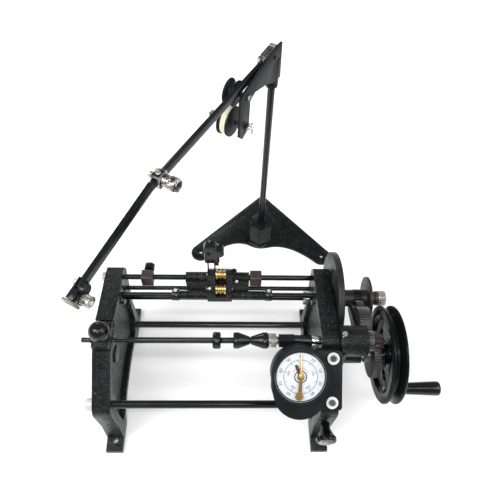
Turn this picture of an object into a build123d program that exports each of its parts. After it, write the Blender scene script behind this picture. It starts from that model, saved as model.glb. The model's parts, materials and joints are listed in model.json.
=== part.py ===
from build123d import *
import math
import os

os.makedirs("parts", exist_ok=True)

# axes: X along the spindle towards the hand wheel, Y to the rear, Z up, feet on Z = 0
frame_gap = 226.0
frame_width = 18.0
frame_x = frame_gap / 2
inner_face = frame_x - frame_width / 2
outer_face = frame_x + frame_width / 2
web_thick = 8.0
foot_reach = 90.5
foot_hole_y = 79.0
foot_hole_r = 3.2

rod_fit = 0.05
run_fit = 0.05
part_gap = 0.35

front_rod_r = 4.0
front_rod_y, front_rod_z = -67.0, 84.0
rear_rod_y, rear_rod_z = 61.0, 17.0
spindle_r = 3.0
spindle_y, spindle_z = -18.0, 128.0
guide_r = 3.0
guide_y, guide_z = 64.0, 119.0
lower_r = 2.5
lower_y, lower_z = 64.0, 97.0
steady_r = 2.75
steady_y, steady_z = 43.0, 116.0
drive_r = 3.0
drive_y, drive_z = 49.3, 101.0
wheel_shaft_r = 4.0
wheel_y, wheel_z = spindle_y, spindle_z - 30.0

tilt = math.radians(52.0)
tilt_y, tilt_z = -math.cos(tilt), math.sin(tilt)
boss_r = 12.0
slope_y = front_rod_y + boss_r * tilt_y
slope_z = front_rod_z + boss_r * tilt_z


def across(x, y, z):
    return Plane(origin=(x, y, z), x_dir=(0, 1, 0), z_dir=(1, 0, 0))


def ring_points(count, inner, outer, root_half, tip_half, phase):
    points = []
    for k in range(count):
        mid = phase + 2 * math.pi * k / count
        points.append((inner * math.cos(mid - root_half / inner), inner * math.sin(mid - root_half / inner)))
        points.append((outer * math.cos(mid - tip_half / outer), outer * math.sin(mid - tip_half / outer)))
        points.append((outer * math.cos(mid + tip_half / outer), outer * math.sin(mid + tip_half / outer)))
        points.append((inner * math.cos(mid + root_half / inner), inner * math.sin(mid + root_half / inner)))
    return points


# ---- side frames -------------------------------------------------------------
peak_y = -20.0
peak_z = slope_z + (peak_y - slope_y) * (-tilt_y / tilt_z)
outline = [
    (-foot_reach, 0.0), (-foot_reach, 6.0), (-76.0, 8.0), (-75.0, 40.0), (-79.0, front_rod_z - 2.0),
    (slope_y, slope_z), (peak_y, peak_z), (-6.0, peak_z + 1.5), (10.0, 135.0), (58.0, 131.0),
    (70.0, 128.5), (76.5, 118.0), (73.0, 90.0), (68.0, 60.0), (71.5, 30.0), (76.0, 8.0),
    (foot_reach, 6.0), (foot_reach, 0.0), (54.0, 0.0), (47.0, 9.0), (34.0, 17.0), (10.0, 21.0),
    (-30.0, 20.0), (-48.0, 14.0), (-58.0, 0.0),
]
pocket = [
    (-62.0, 22.0), (-66.0, 66.0), (-60.0, 92.0), (-24.0, 120.0), (-6.0, 128.0), (50.0, 122.0),
    (58.0, 104.0), (62.0, 90.0), (59.0, 62.0), (60.0, 32.0), (48.0, 20.0), (12.0, 29.0),
    (-30.0, 28.0), (-50.0, 20.0),
]
bosses = [
    (front_rod_y, front_rod_z, 12.0), (rear_rod_y, rear_rod_z, 11.0), (spindle_y, spindle_z, 12.5),
    (guide_y, guide_z, 10.0), (lower_y, lower_z, 7.5), (steady_y, steady_z, 7.5), (drive_y, drive_z, 8.0),
    (wheel_y, wheel_z, 9.0),
]
bores = [
    (front_rod_y, front_rod_z, front_rod_r), (rear_rod_y, rear_rod_z, front_rod_r),
    (spindle_y, spindle_z, spindle_r), (guide_y, guide_z, guide_r), (lower_y, lower_z, lower_r),
    (steady_y, steady_z, steady_r), (drive_y, drive_z, drive_r),
]
hinge_y, hinge_z, hinge_r = -5.0, spindle_z + 5.5, 5.0
cap_front = spindle_y - 12.0
knob_z = 58.0
knob_stud_r = 2.5

# the counter's own plane on the sloping front of the right frame
dial_x = 79.8
dial_up = 37.9
dial_origin = (dial_x, slope_y + dial_up * tilt_z, slope_z - dial_up * tilt_y)
counter_plane = Plane(origin=dial_origin, x_dir=(1, 0, 0), z_dir=(0, tilt_y, tilt_z))
screw_x = 31.9
screw_spots = [("upper", screw_x, 16.2), ("lower", screw_x - 0.7, -26.1)]
screw_depth = 8.0

for side in (-1, 1):
    mid = side * frame_x
    with BuildPart() as side_frame:
        with BuildSketch(across(mid - frame_width / 2, 0, 0)) as body_sketch:
            with BuildLine():
                Polyline(*outline, close=True)
            make_face()
            for by, bz, br in bosses:
                if by != wheel_y or bz != wheel_z:
                    with Locations((by, bz)):
                        Circle(br)
        extrude(amount=frame_width)
        for start, sign in ((mid - frame_width / 2, 1), (mid + frame_width / 2, -1)):
            with BuildSketch(across(start, 0, 0)) as pocket_sketch:
                with BuildLine():
                    Polyline(*pocket, close=True)
                make_face()
                for by, bz, br in bosses:
                    with Locations((by, bz)):
                        Circle(br, mode=Mode.SUBTRACT)
            extrude(amount=sign * (frame_width - web_thick) / 2, mode=Mode.SUBTRACT)
        with BuildSketch(across(mid - frame_width / 2, 0, 0)) as bore_sketch:
            for by, bz, br in bores:
                with Locations((by, bz)):
                    Circle(br + rod_fit)
            if side > 0:
                with Locations((wheel_y, wheel_z)):
                    Circle(wheel_shaft_r + rod_fit)
        extrude(amount=frame_width, mode=Mode.SUBTRACT)
        with BuildSketch(Plane.XY.offset(-1)) as foot_holes:
            with Locations((mid, -foot_hole_y), (mid, foot_hole_y)):
                Circle(foot_hole_r)
        extrude(amount=20, mode=Mode.SUBTRACT)
        if side < 0:
            with BuildSketch(across(mid - frame_width / 2 - 1, 0, 0)) as saddle_cut:
                with BuildLine():
                    Polyline((cap_front - 8, spindle_z), (hinge_y, spindle_z), (hinge_y, 150), (cap_front - 8, 150),
                             close=True)
                make_face()
                with Locations((hinge_y, hinge_z)):
                    Circle(hinge_r + part_gap + 0.4)
            extrude(amount=frame_width + 2, mode=Mode.SUBTRACT)
        if side > 0:
            with BuildSketch(Plane.XZ.offset(60)) as stud_hole:
                with Locations((mid, knob_z)):
                    Circle(knob_stud_r + run_fit)
            extrude(amount=20, mode=Mode.SUBTRACT)
            with BuildSketch(counter_plane) as counter_seat:
                with Locations((frame_x - dial_x, -4.4)):
                    Rectangle(frame_width + 2, 61.0)
            extrude(amount=12, mode=Mode.SUBTRACT)
            with BuildSketch(counter_plane) as screw_holes:
                for spot, sx, sy in screw_spots:
                    with Locations((sx, sy)):
                        Circle(2.0 + rod_fit)
            extrude(amount=-screw_depth - 1.0, mode=Mode.SUBTRACT)
    name = "side_frame_left" if side < 0 else "side_frame_right"
    side_frame.part.label = name
    export_step(side_frame.part, "parts/" + name + ".step")

# ---- tie rods and guide rods -------------------------------------------------------------
hex_r = 7.0
for name, ry, rz in (("front_tie_rod", front_rod_y, front_rod_z), ("rear_tie_rod", rear_rod_y, rear_rod_z)):
    with BuildPart() as tie_rod:
        flush = ry < 0
        with BuildSketch(across(-outer_face - 9, ry, rz)):
            Circle(front_rod_r)
        extrude(amount=2 * outer_face + (8.6 if flush else 18))
        for start in (-outer_face - 1.6, outer_face + 0.1):
            if start < 0 or not flush:
                with BuildSketch(across(start, ry, rz)):
                    Circle(8.0)
                extrude(amount=1.5)
        for start in (-outer_face - 7.6, outer_face + 1.6):
            if start < 0 or not flush:
                with BuildSketch(across(start, ry, rz)):
                    RegularPolygon(hex_r, 6)
                extrude(amount=6)
    tie_rod.part.label = name
    export_step(tie_rod.part, "parts/" + name + ".step")

with BuildPart() as guide_rod:
    with BuildSketch(across(-outer_face - 6.5, guide_y, guide_z)):
        Circle(guide_r)
    extrude(amount=2 * outer_face + 5.5)
    with BuildSketch(across(-outer_face - 5.0, guide_y, guide_z)):
        RegularPolygon(5.8, 6)
    extrude(amount=4.9)
guide_rod.part.label = "guide_rod_upper"
export_step(guide_rod.part, "parts/guide_rod_upper.step")

with BuildPart() as lower_rod:
    with BuildSketch(across(-outer_face, lower_y, lower_z)):
        Circle(lower_r)
    extrude(amount=2 * outer_face)
lower_rod.part.label = "guide_rod_lower"
export_step(lower_rod.part, "parts/guide_rod_lower.step")

with BuildPart() as steady_rod:
    with BuildSketch(across(-outer_face, steady_y, steady_z)):
        Circle(steady_r)
    extrude(amount=2 * outer_face)
steady_rod.part.label = "steady_rod"
export_step(steady_rod.part, "parts/steady_rod.step")

# ---- gear housing with the idler arm -------------------------------------------------------------
housing_r = 15.5
housing_end = 150.0
lower_boss_r = 9.5
gear_start = 151.0
gear_width = 6.0
spindle_teeth, idler_teeth, small_teeth, drive_teeth = 20, 39, 15, 18
pinion_teeth, wheel_teeth = 12, 48
reach_s = (spindle_teeth + idler_teeth) / 2
reach_m = (idler_teeth + small_teeth) / 2
reach_u = (small_teeth + drive_teeth) / 2
span = math.hypot(drive_y - spindle_y, drive_z - spindle_z)
span_angle = math.atan2(drive_z - spindle_z, drive_y - spindle_y)
reach_far = reach_m + reach_u
lift = math.acos(min(1.0, (reach_s ** 2 + span ** 2 - reach_far ** 2) / (2 * reach_s * span)))
idler_angle = span_angle - lift
idler_y = spindle_y + reach_s * math.cos(idler_angle)
idler_z = spindle_z + reach_s * math.sin(idler_angle)
small_angle = math.atan2(drive_z - idler_z, drive_y - idler_y)
small_y = idler_y + reach_m * math.cos(small_angle)
small_z = idler_z + reach_m * math.sin(small_angle)
idler_bore = 3.0
small_bore = 2.0
arm_start = 143.2
arm_end = 146.2
idler_start, idler_end = 146.6, 158.9

with BuildPart() as gear_housing:
    with BuildSketch(across(outer_face + 0.2, spindle_y, spindle_z)):
        Circle(housing_r)
    extrude(amount=housing_end - outer_face - 0.2)
    with BuildSketch(across(outer_face + 0.2, wheel_y, wheel_z)):
        Circle(lower_boss_r)
    extrude(amount=housing_end - outer_face - 0.2)
    with BuildSketch(across(outer_face + 0.2, spindle_y, (spindle_z + wheel_z) / 2)):
        Rectangle(14, 30)
    extrude(amount=housing_end - outer_face - 3.2)
    with BuildSketch(across(outer_face + 0.2, spindle_y - 3, spindle_z - 8)):
        RectangleRounded(34, 42, 5)
    extrude(amount=4.5)
    with BuildSketch(across(arm_start, 0, 0)):
        with BuildLine():
            Polyline((spindle_y, spindle_z + 9), (idler_y, idler_z + 6), (small_y, small_z + 4.4),
                     (small_y, small_z - 4.4), (idler_y, idler_z - 7), (spindle_y, spindle_z - 13), close=True)
        make_face()
        with Locations((small_y, small_z)):
            Circle(4.4)
    extrude(amount=arm_end - arm_start)
    with BuildSketch(across(arm_end, idler_y, idler_z)):
        Circle(idler_teeth / 2 + 1.5)
    extrude(amount=housing_end - arm_end + 1, mode=Mode.SUBTRACT)
    with BuildSketch(across(arm_end - 0.5, idler_y, idler_z)):
        Circle(idler_bore)
    extrude(amount=idler_end - arm_end + 0.8)
    with BuildSketch(across(idler_end + 0.3, idler_y, idler_z)):
        Circle(idler_bore + 1.2)
    extrude(amount=1.2)
    with BuildSketch(across(arm_end - 0.5, small_y, small_z)):
        Circle(small_bore)
    extrude(amount=idler_end - arm_end + 0.8)
    with BuildSketch(across(idler_end + 0.3, small_y, small_z)):
        Circle(small_bore + 1.2)
    extrude(amount=1.2)
    with BuildSketch(across(outer_face, spindle_y, spindle_z)):
        Circle(spindle_r + run_fit)
    extrude(amount=40, mode=Mode.SUBTRACT)
    with BuildSketch(across(outer_face, wheel_y, wheel_z)):
        Circle(wheel_shaft_r + run_fit)
    extrude(amount=40, mode=Mode.SUBTRACT)
    with BuildSketch(Plane.XY.offset(spindle_z + housing_r - 1.0)):
        with Locations((126.0, spindle_y - 1.0)):
            Circle(2.7)
    extrude(amount=2.8)
gear_housing.part.label = "gear_housing"
export_step(gear_housing.part, "parts/gear_housing.step")

# ---- toothed wheels -------------------------------------------------------------
tooth_root, tooth_tip = 0.93, 0.36
root_drop, tip_rise = 1.15, 0.85


def mesh_phase(angle, teeth_a, phase_a, teeth_b):
    step_a = 2 * math.pi / teeth_a
    lead = (phase_a - angle) / step_a
    lead = (lead - round(lead)) * math.pi
    return angle + math.pi - lead / (teeth_b / 2) + math.pi / teeth_b


wheel_dir = -math.pi / 2
pinion_phase = wheel_dir
bull_phase = mesh_phase(wheel_dir, pinion_teeth, pinion_phase, wheel_teeth)
spindle_phase = idler_angle
idler_phase = mesh_phase(idler_angle, spindle_teeth, spindle_phase, idler_teeth)
small_phase = mesh_phase(small_angle, idler_teeth, idler_phase, small_teeth)
drive_dir = math.atan2(drive_z - small_z, drive_y - small_y)
drive_phase = mesh_phase(drive_dir, small_teeth, small_phase, drive_teeth)

gears = [
    ("spindle_gear", spindle_teeth, spindle_phase, gear_start, gear_width, spindle_y, spindle_z, spindle_r, 6.0, 1.2),
    ("pinion", pinion_teeth, pinion_phase, gear_start + 8.0, 8.0, spindle_y, spindle_z, spindle_r, 0.0, 0.0),
    ("bull_gear", wheel_teeth, bull_phase, gear_start + 8.6, 7.0, wheel_y, wheel_z, wheel_shaft_r, 8.5, -6.5),
    ("idler_gear", idler_teeth, idler_phase, idler_start, idler_end - idler_start, idler_y, idler_z, idler_bore,
     0.0, 0.0),
    ("idler_pinion", small_teeth, small_phase, gear_start, idler_end - gear_start, small_y, small_z, small_bore,
     3.4, -4.4),
]
for name, teeth, phase, start, width, gy, gz, bore, hub, hub_out in gears:
    with BuildPart() as gear:
        with BuildSketch(across(start, gy, gz)):
            with BuildLine():
                Polyline(*ring_points(teeth, teeth / 2 - root_drop, teeth / 2 + tip_rise, tooth_root, tooth_tip,
                                      phase), close=True)
            make_face()
        extrude(amount=width)
        if hub_out > 0:
            with BuildSketch(across(start + width - 0.2, gy, gz)):
                Circle(hub)
            extrude(amount=hub_out + 0.2)
        if hub_out < 0:
            with BuildSketch(across(start + 0.2, gy, gz)):
                Circle(hub)
            extrude(amount=hub_out - 0.2)
        with BuildSketch(across(start - 12, gy, gz)):
            Circle(bore + (run_fit if name.startswith("idler") else rod_fit))
        extrude(amount=32, mode=Mode.SUBTRACT)
    gear.part.label = name
    export_step(gear.part, "parts/" + name + ".step")

# ---- spindle and what turns with it -------------------------------------------------------------
spindle_left = -134.0
spindle_right = 168.5
chuck_start = 60.0
with BuildPart() as spindle_shaft:
    with BuildSketch(across(spindle_left, spindle_y, spindle_z)):
        Circle(spindle_r - 0.5)
    extrude(amount=8.2)
    with BuildSketch(across(spindle_left + 8.0, spindle_y, spindle_z)):
        Circle(spindle_r)
    extrude(amount=spindle_right - spindle_left - 8.0)
    with BuildSketch(across(95.0, spindle_y, spindle_z)):
        Circle(5.0)
    extrude(amount=inner_face - 0.4 - 95.0)
    with BuildSketch(across(-inner_face + 0.4, spindle_y, spindle_z)):
        Circle(spindle_r + 1)
        Circle(spindle_r - 0.7, mode=Mode.SUBTRACT)
    extrude(amount=15.0, mode=Mode.SUBTRACT)
spindle_shaft.part.label = "spindle_shaft"
export_step(spindle_shaft.part, "parts/spindle_shaft.step")

with BuildPart() as lock_collar:
    with BuildSketch(across(-4.3, spindle_y, spindle_z)):
        Circle(8.4)
    extrude(amount=8.0)
    chamfer(lock_collar.edges().filter_by(GeomType.CIRCLE), length=1.2)
    with BuildSketch(across(-6.0, spindle_y, spindle_z)):
        Circle(spindle_r + rod_fit)
    extrude(amount=12, mode=Mode.SUBTRACT)
lock_collar.part.label = "lock_collar"
export_step(lock_collar.part, "parts/lock_collar.step")

cone_big, cone_small, cone_len = 8.2, 3.9, 16.6
with BuildPart() as cone_left:
    with BuildSketch(Plane(origin=(16.2, spindle_y, spindle_z), x_dir=(1, 0, 0), z_dir=(0, -1, 0))):
        with BuildLine():
            Polyline((0, spindle_r + rod_fit), (0, cone_big - 1.0), (1.0, cone_big), (5.0, cone_big),
                     (cone_len, cone_small), (cone_len, spindle_r + rod_fit), close=True)
        make_face()
    revolve(axis=Axis((0, spindle_y, spindle_z), (1, 0, 0)))
cone_left.part.label = "cone_left"
export_step(cone_left.part, "parts/cone_left.step")

with BuildPart() as cone_right:
    with BuildSketch(Plane(origin=(51.2, spindle_y, spindle_z), x_dir=(-1, 0, 0), z_dir=(0, 1, 0))):
        with BuildLine():
            Polyline((0, spindle_r + rod_fit), (0, cone_big - 1.0), (1.0, cone_big), (5.0, cone_big),
                     (cone_len + 1.0, cone_small), (cone_len + 1.0, spindle_r + rod_fit), close=True)
        make_face()
    revolve(axis=Axis((0, spindle_y, spindle_z), (1, 0, 0)))
cone_right.part.label = "cone_right"
export_step(cone_right.part, "parts/cone_right.step")

with BuildPart() as cone_nut:
    with BuildSketch(across(51.6, spindle_y, spindle_z)):
        Circle(7.2)
        Circle(spindle_r + rod_fit, mode=Mode.SUBTRACT)
        with PolarLocations(7.2, 24):
            Circle(0.45, mode=Mode.SUBTRACT)
    extrude(amount=7.6)
    with BuildSketch(across(59.0, spindle_y, spindle_z)):
        Circle(4.2)
        Circle(spindle_r + rod_fit, mode=Mode.SUBTRACT)
    extrude(amount=2.4)
cone_nut.part.label = "cone_nut"
export_step(cone_nut.part, "parts/cone_nut.step")

with BuildPart() as chuck_body:
    with BuildSketch(across(61.8, spindle_y, spindle_z)):
        RegularPolygon(7.4, 6)
    extrude(amount=15.4)
    with BuildSketch(across(77.0, spindle_y, spindle_z)):
        Circle(5.6)
    extrude(amount=17.8)
    with BuildSketch(across(60.0, spindle_y, spindle_z)):
        Circle(spindle_r + rod_fit)
    extrude(amount=36, mode=Mode.SUBTRACT)
chuck_body.part.label = "chuck_body"
export_step(chuck_body.part, "parts/chuck_body.step")

# ---- hand wheel with crank -------------------------------------------------------------
rim_r = 51.0
rim_left, rim_right = 171.0, 186.0
crank_r = 36.4
crank_angle = math.radians(217.1)
crank_y = wheel_y + crank_r * math.cos(crank_angle)
crank_z = wheel_z + crank_r * math.sin(crank_angle)
crank_bolt_r = 2.5
hole_reach, hole_r = 21.6, 6.0
handle_start = rim_right + 1.0
handle_end = 235.0
with BuildPart() as hand_wheel:
    with BuildSketch(Plane(origin=(0, wheel_y, wheel_z), x_dir=(1, 0, 0), z_dir=(0, -1, 0))):
        with BuildLine():
            Polyline((168.0, wheel_shaft_r + rod_fit), (168.0, 9.5), (174.0, 11.0), (175.5, 38.5), (171.6, 41.0),
                     (rim_left, rim_r - 0.8), (171.8, rim_r), (173.4, rim_r), (177.3, 42.0), (179.7, 42.0),
                     (183.6, rim_r), (185.2, rim_r), (rim_right, rim_r - 0.8), (185.0, 40.0), (180.0, 38.0),
                     (179.0, 11.5), (188.5, 10.0), (188.5, wheel_shaft_r + rod_fit), close=True)
        make_face()
    revolve(axis=Axis((0, wheel_y, wheel_z), (1, 0, 0)))
    with BuildSketch(across(176.0, crank_y, crank_z)):
        Circle(6.5)
    extrude(amount=rim_right + 0.5 - 176.0)
    with BuildSketch(across(160.0, wheel_y, wheel_z)):
        with PolarLocations(hole_reach, 4, start_angle=math.degrees(crank_angle) - 13.0):
            Circle(hole_r)
    extrude(amount=40, mode=Mode.SUBTRACT)
    with BuildSketch(across(170.0, crank_y, crank_z)):
        Circle(crank_bolt_r + rod_fit)
    extrude(amount=20, mode=Mode.SUBTRACT)
hand_wheel.part.label = "hand_wheel"
export_step(hand_wheel.part, "parts/hand_wheel.step")

with BuildPart() as wheel_shaft:
    with BuildSketch(across(inner_face + 1, wheel_y, wheel_z)):
        Circle(wheel_shaft_r)
    extrude(amount=191.5 - inner_face)
    with BuildSketch(across(188.9, wheel_y, wheel_z)):
        RegularPolygon(7.0, 6)
    extrude(amount=5.0)
wheel_shaft.part.label = "wheel_shaft"
export_step(wheel_shaft.part, "parts/wheel_shaft.step")

with BuildPart() as crank_bolt:
    with BuildSketch(across(175.0, crank_y, crank_z)):
        Circle(crank_bolt_r)
    extrude(amount=56.0)
    with BuildSketch(across(230.6, crank_y, crank_z)):
        Circle(4.2)
    extrude(amount=2.6)
    with BuildSketch(across(232.4, crank_y, crank_z)):
        Rectangle(9.0, 1.0)
    extrude(amount=2.0, mode=Mode.SUBTRACT)
crank_bolt.part.label = "crank_bolt"
export_step(crank_bolt.part, "parts/crank_bolt.step")

with BuildPart() as crank_handle:
    with BuildSketch(Plane(origin=(0, crank_y, crank_z), x_dir=(1, 0, 0), z_dir=(0, -1, 0))):
        with BuildLine():
            Polyline((handle_start, crank_bolt_r + run_fit), (handle_start, 5.0), (handle_start + 1.0, 5.7),
                     (handle_end - 3.0, 7.7), (handle_end - 0.8, 7.2), (handle_end, 6.0), (handle_end, 4.7),
                     (230.2, 4.7), (230.2, crank_bolt_r + run_fit), close=True)
        make_face()
    revolve(axis=Axis((0, crank_y, crank_z), (1, 0, 0)))
crank_handle.part.label = "crank_handle"
export_step(crank_handle.part, "parts/crank_handle.step")

# ---- traverse drive shaft with the friction disc -------------------------------------------------------------
shaft_left = -outer_face + 2.0
shaft_right = 188.5
with BuildPart() as drive_shaft:
    with BuildSketch(across(shaft_left, drive_y, drive_z)):
        Circle(drive_r)
    extrude(amount=shaft_right - shaft_left)
drive_shaft.part.label = "drive_shaft"
export_step(drive_shaft.part, "parts/drive_shaft.step")

disc_r = 52.0
with BuildPart() as friction_disc:
    with BuildSketch(Plane(origin=(0, drive_y, drive_z), x_dir=(1, 0, 0), z_dir=(0, -1, 0))):
        with BuildLine():
            Polyline((123.0, drive_r + rod_fit), (123.0, 10.0), (124.0, 11.0), (124.0, disc_r - 1.0), (125.0, disc_r),
                     (130.4, disc_r), (131.4, disc_r - 1.0), (131.4, drive_r + rod_fit), close=True)
        make_face()
    revolve(axis=Axis((0, drive_y, drive_z), (1, 0, 0)))
    with BuildSketch(across(120.0, drive_y, drive_z)):
        with PolarLocations(31.0, 3, start_angle=77):
            Circle(3.2)
    extrude(amount=16, mode=Mode.SUBTRACT)
friction_disc.part.label = "friction_disc"
export_step(friction_disc.part, "parts/friction_disc.step")

with BuildPart() as drive_gear:
    with BuildSketch(across(150.4, drive_y, drive_z)):
        with BuildLine():
            Polyline(*ring_points(drive_teeth, drive_teeth / 2 - root_drop, drive_teeth / 2 + tip_rise, tooth_root,
                                  tooth_tip, drive_phase), close=True)
        make_face()
    extrude(amount=9.2)
    with BuildSketch(across(131.7, drive_y, drive_z)):
        Circle(9.5)
    extrude(amount=18.8)
    with BuildSketch(across(159.5, drive_y, drive_z)):
        Circle(9.5)
    extrude(amount=5.8)
    with BuildSketch(across(165.0, drive_y, drive_z)):
        Circle(24.3)
    extrude(amount=2.6)
    with BuildSketch(across(130.0, drive_y, drive_z)):
        Circle(drive_r + rod_fit)
    extrude(amount=40, mode=Mode.SUBTRACT)
    with BuildSketch(Plane.XZ.offset(-drive_y + 4)):
        with Locations((142.0, drive_z)):
            SlotOverall(11, 5)
    extrude(amount=12, mode=Mode.SUBTRACT)
drive_gear.part.label = "drive_gear"
export_step(drive_gear.part, "parts/drive_gear.step")

with BuildPart() as fibre_washer:
    with BuildSketch(Plane(origin=(0, drive_y, drive_z), x_dir=(1, 0, 0), z_dir=(0, -1, 0))):
        with BuildLine():
            Polyline((167.9, drive_r + rod_fit), (167.9, 9.0), (170.2, 9.0), (171.6, 7.0), (174.2, 7.0), (175.4, 8.0),
                     (178.4, 8.0), (178.4, drive_r + rod_fit), close=True)
        make_face()
    revolve(axis=Axis((0, drive_y, drive_z), (1, 0, 0)))
fibre_washer.part.label = "fibre_washer"
export_step(fibre_washer.part, "parts/fibre_washer.step")

with BuildPart() as drive_nut:
    with BuildSketch(across(178.7, drive_y, drive_z)):
        Circle(8.4)
        Circle(drive_r + rod_fit, mode=Mode.SUBTRACT)
        with PolarLocations(8.4, 20):
            Circle(0.5, mode=Mode.SUBTRACT)
    extrude(amount=7.8)
drive_nut.part.label = "drive_nut"
export_step(drive_nut.part, "parts/drive_nut.step")

with BuildPart() as star_wheel:
    with BuildSketch(across(94.5, drive_y, drive_z)):
        Circle(5.0)
        for k in range(4):
            with Locations(Location((0, 0, 0), (0, 0, 45 + 90 * k))):
                with Locations((5.0, 0)):
                    Rectangle(5.0, 2.6)
        Circle(drive_r + rod_fit, mode=Mode.SUBTRACT)
    extrude(amount=6.5)
star_wheel.part.label = "star_wheel"
export_step(star_wheel.part, "parts/star_wheel.step")

# ---- traverse carriage -------------------------------------------------------------
car_left, car_right = -12.0, 14.4
roller_left, roller_right = -3.4, 8.4
roller_r = 5.6
roller_hi = (56.5, 135.5)
roller_lo = (44.0, 126.6)
journal_r = 1.5
slide_fit = 0.06
car_top = 139.5
with BuildPart() as carriage_block:
    with BuildSketch(across(car_left, 0, 0)):
        with BuildLine():
            Polyline((37.5, 111.0), (37.5, 125.0), (41.5, 131.0), (52.0, car_top), (60.0, car_top), (70.5, 127.0),
                     (70.5, 92.5), (57.5, 92.5), (57.5, 108.5), (50.0, 111.0), close=True)
        make_face()
    extrude(amount=car_right - car_left)
    with BuildSketch(across(car_right - 1, 0, 0)):
        with Locations((guide_y, guide_z)):
            Circle(6.0)
        with Locations((lower_y, lower_z)):
            Circle(5.4)
        with Locations((64.0, 108.0)):
            Rectangle(9.0, 16.0)
    extrude(amount=20.0)
    with BuildSketch(across(-36.5, 0, 0)):
        with Locations((guide_y, guide_z)):
            Circle(6.2)
        with Locations((lower_y, lower_z)):
            Circle(5.0)
        with Locations((64.0, 108.0)):
            Rectangle(6.0, 16.0)
    extrude(amount=26.0)
    with BuildSketch(across(-42.0, steady_y, steady_z)):
        Circle(4.6)
    extrude(amount=92.0)
    with BuildSketch(across(roller_left, 0, 0)):
        with BuildLine():
            Polyline((30.0, 119.4), (49.0, 119.4), (52.0, 127.0), (64.0, 129.0), (66.0, 150.0), (30.0, 150.0),
                     close=True)
        make_face()
    extrude(amount=roller_right - roller_left, mode=Mode.SUBTRACT)
    with BuildSketch(across(-50.0, 0, 0)):
        with Locations((guide_y, guide_z)):
            Circle(guide_r + slide_fit)
        with Locations((lower_y, lower_z)):
            Circle(lower_r + slide_fit)
        with Locations((steady_y, steady_z)):
            Circle(steady_r + slide_fit)
    extrude(amount=120.0, mode=Mode.SUBTRACT)
    with BuildSketch(across(car_left - 1, 0, 0)):
        with Locations(roller_hi, roller_lo):
            Circle(journal_r + run_fit)
    extrude(amount=30.0, mode=Mode.SUBTRACT)
carriage_block.part.label = "carriage_block"
export_step(carriage_block.part, "parts/carriage_block.step")

for name, (ry, rz) in (("guide_roller_upper", roller_hi), ("guide_roller_lower", roller_lo)):
    with BuildPart() as roller:
        with BuildSketch(Plane(origin=(0, ry, rz), x_dir=(1, 0, 0), z_dir=(0, -1, 0))):
            with BuildLine():
                Polyline((car_left - 0.8, 0), (car_left - 0.8, journal_r), (roller_left + 0.4, journal_r),
                         (roller_left + 0.4, roller_r), (roller_left + 2.4, roller_r), (roller_left + 3.4, 4.3),
                         (roller_left + 4.6, 4.3), (roller_left + 5.4, roller_r), (roller_right - 5.4, roller_r),
                         (roller_right - 4.6, 4.3), (roller_right - 3.4, 4.3), (roller_right - 2.4, roller_r),
                         (roller_right - 0.4, roller_r), (roller_right - 0.4, journal_r),
                         (car_right + 0.8, journal_r), (car_right + 0.8, 0), close=True)
            make_face()
        revolve(axis=Axis((0, ry, rz), (1, 0, 0)))
    roller.part.label = name
    export_step(roller.part, "parts/" + name + ".step")

with BuildPart() as set_collars:
    for start in (-50.0, 50.5):
        with BuildSketch(across(start, steady_y, steady_z)):
            Circle(6.2)
            Circle(steady_r + slide_fit, mode=Mode.SUBTRACT)
        extrude(amount=7.5)
        with BuildSketch(Plane.XY.offset(steady_z + 5.0)):
            with Locations((start + 3.75, steady_y)):
                Circle(2.0)
        extrude(amount=4.0)
set_collars.part.label = "set_collars"
export_step(set_collars.part, "parts/set_collars.step")

wire_r = 0.8
wire_y = 60.0
wire_low, wire_top = car_top + 0.2, 168.0
head_low, head_high = 162.0, 190.0
wires = []
for wx in (-11.0, -3.9):
    wires.append((wx, wire_y))
with BuildPart() as guide_head:
    with BuildSketch(Plane.XY.offset(head_low)):
        with Locations((-6.2, 57.0)):
            RectangleRounded(15.6, 9.0, 2.5)
    extrude(amount=head_high - head_low - 9)
    with BuildSketch(Plane.XZ.offset(-52.4)):
        with Locations((-7.6, head_high - 8.0)):
            Circle(6.8)
        with Locations((0.6, head_high - 12.5)):
            Circle(5.6)
    extrude(amount=-9.2)
    with BuildSketch(Plane.XZ.offset(-51.2)):
        with Locations((-9.6, head_high - 14.0)):
            Circle(2.0)
    extrude(amount=-2.0)
    with BuildSketch(Plane.XY.offset(head_low - 7.0)):
        with Locations((-1.2, 57.0)):
            Rectangle(3.6, 5.0)
    extrude(amount=8.0)
    with BuildSketch(Plane.XY.offset(head_low - 8.0)):
        with Locations(*wires):
            Rectangle(2 * wire_r + 0.04, 2 * wire_r + 0.04)
    extrude(amount=8.0 + wire_top - head_low, mode=Mode.SUBTRACT)
    with BuildSketch(Plane.XY.offset(wire_top - wire_r - 0.02)):
        with Locations(((wires[0][0] + wires[1][0]) / 2, wire_y)):
            Rectangle(wires[1][0] - wires[0][0] + 2 * wire_r + 0.04, 2 * wire_r + 0.04)
    extrude(amount=2 * wire_r + 0.04, mode=Mode.SUBTRACT)
guide_head.part.label = "guide_head"
export_step(guide_head.part, "parts/guide_head.step")
with BuildPart() as guide_wires:
    with BuildLine() as wire_path:
        Polyline((wires[0][0], wire_y, wire_low), (wires[0][0], wire_y, wire_top), (wires[1][0], wire_y, wire_top),
                 (wires[1][0], wire_y, wire_low))
    with BuildSketch(Plane.XY.offset(wire_low)):
        with Locations(wires[0]):
            Circle(wire_r)
    sweep(transition=Transition.RIGHT)
guide_wires.part.label = "guide_wires"
export_step(guide_wires.part, "parts/guide_wires.step")

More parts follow.
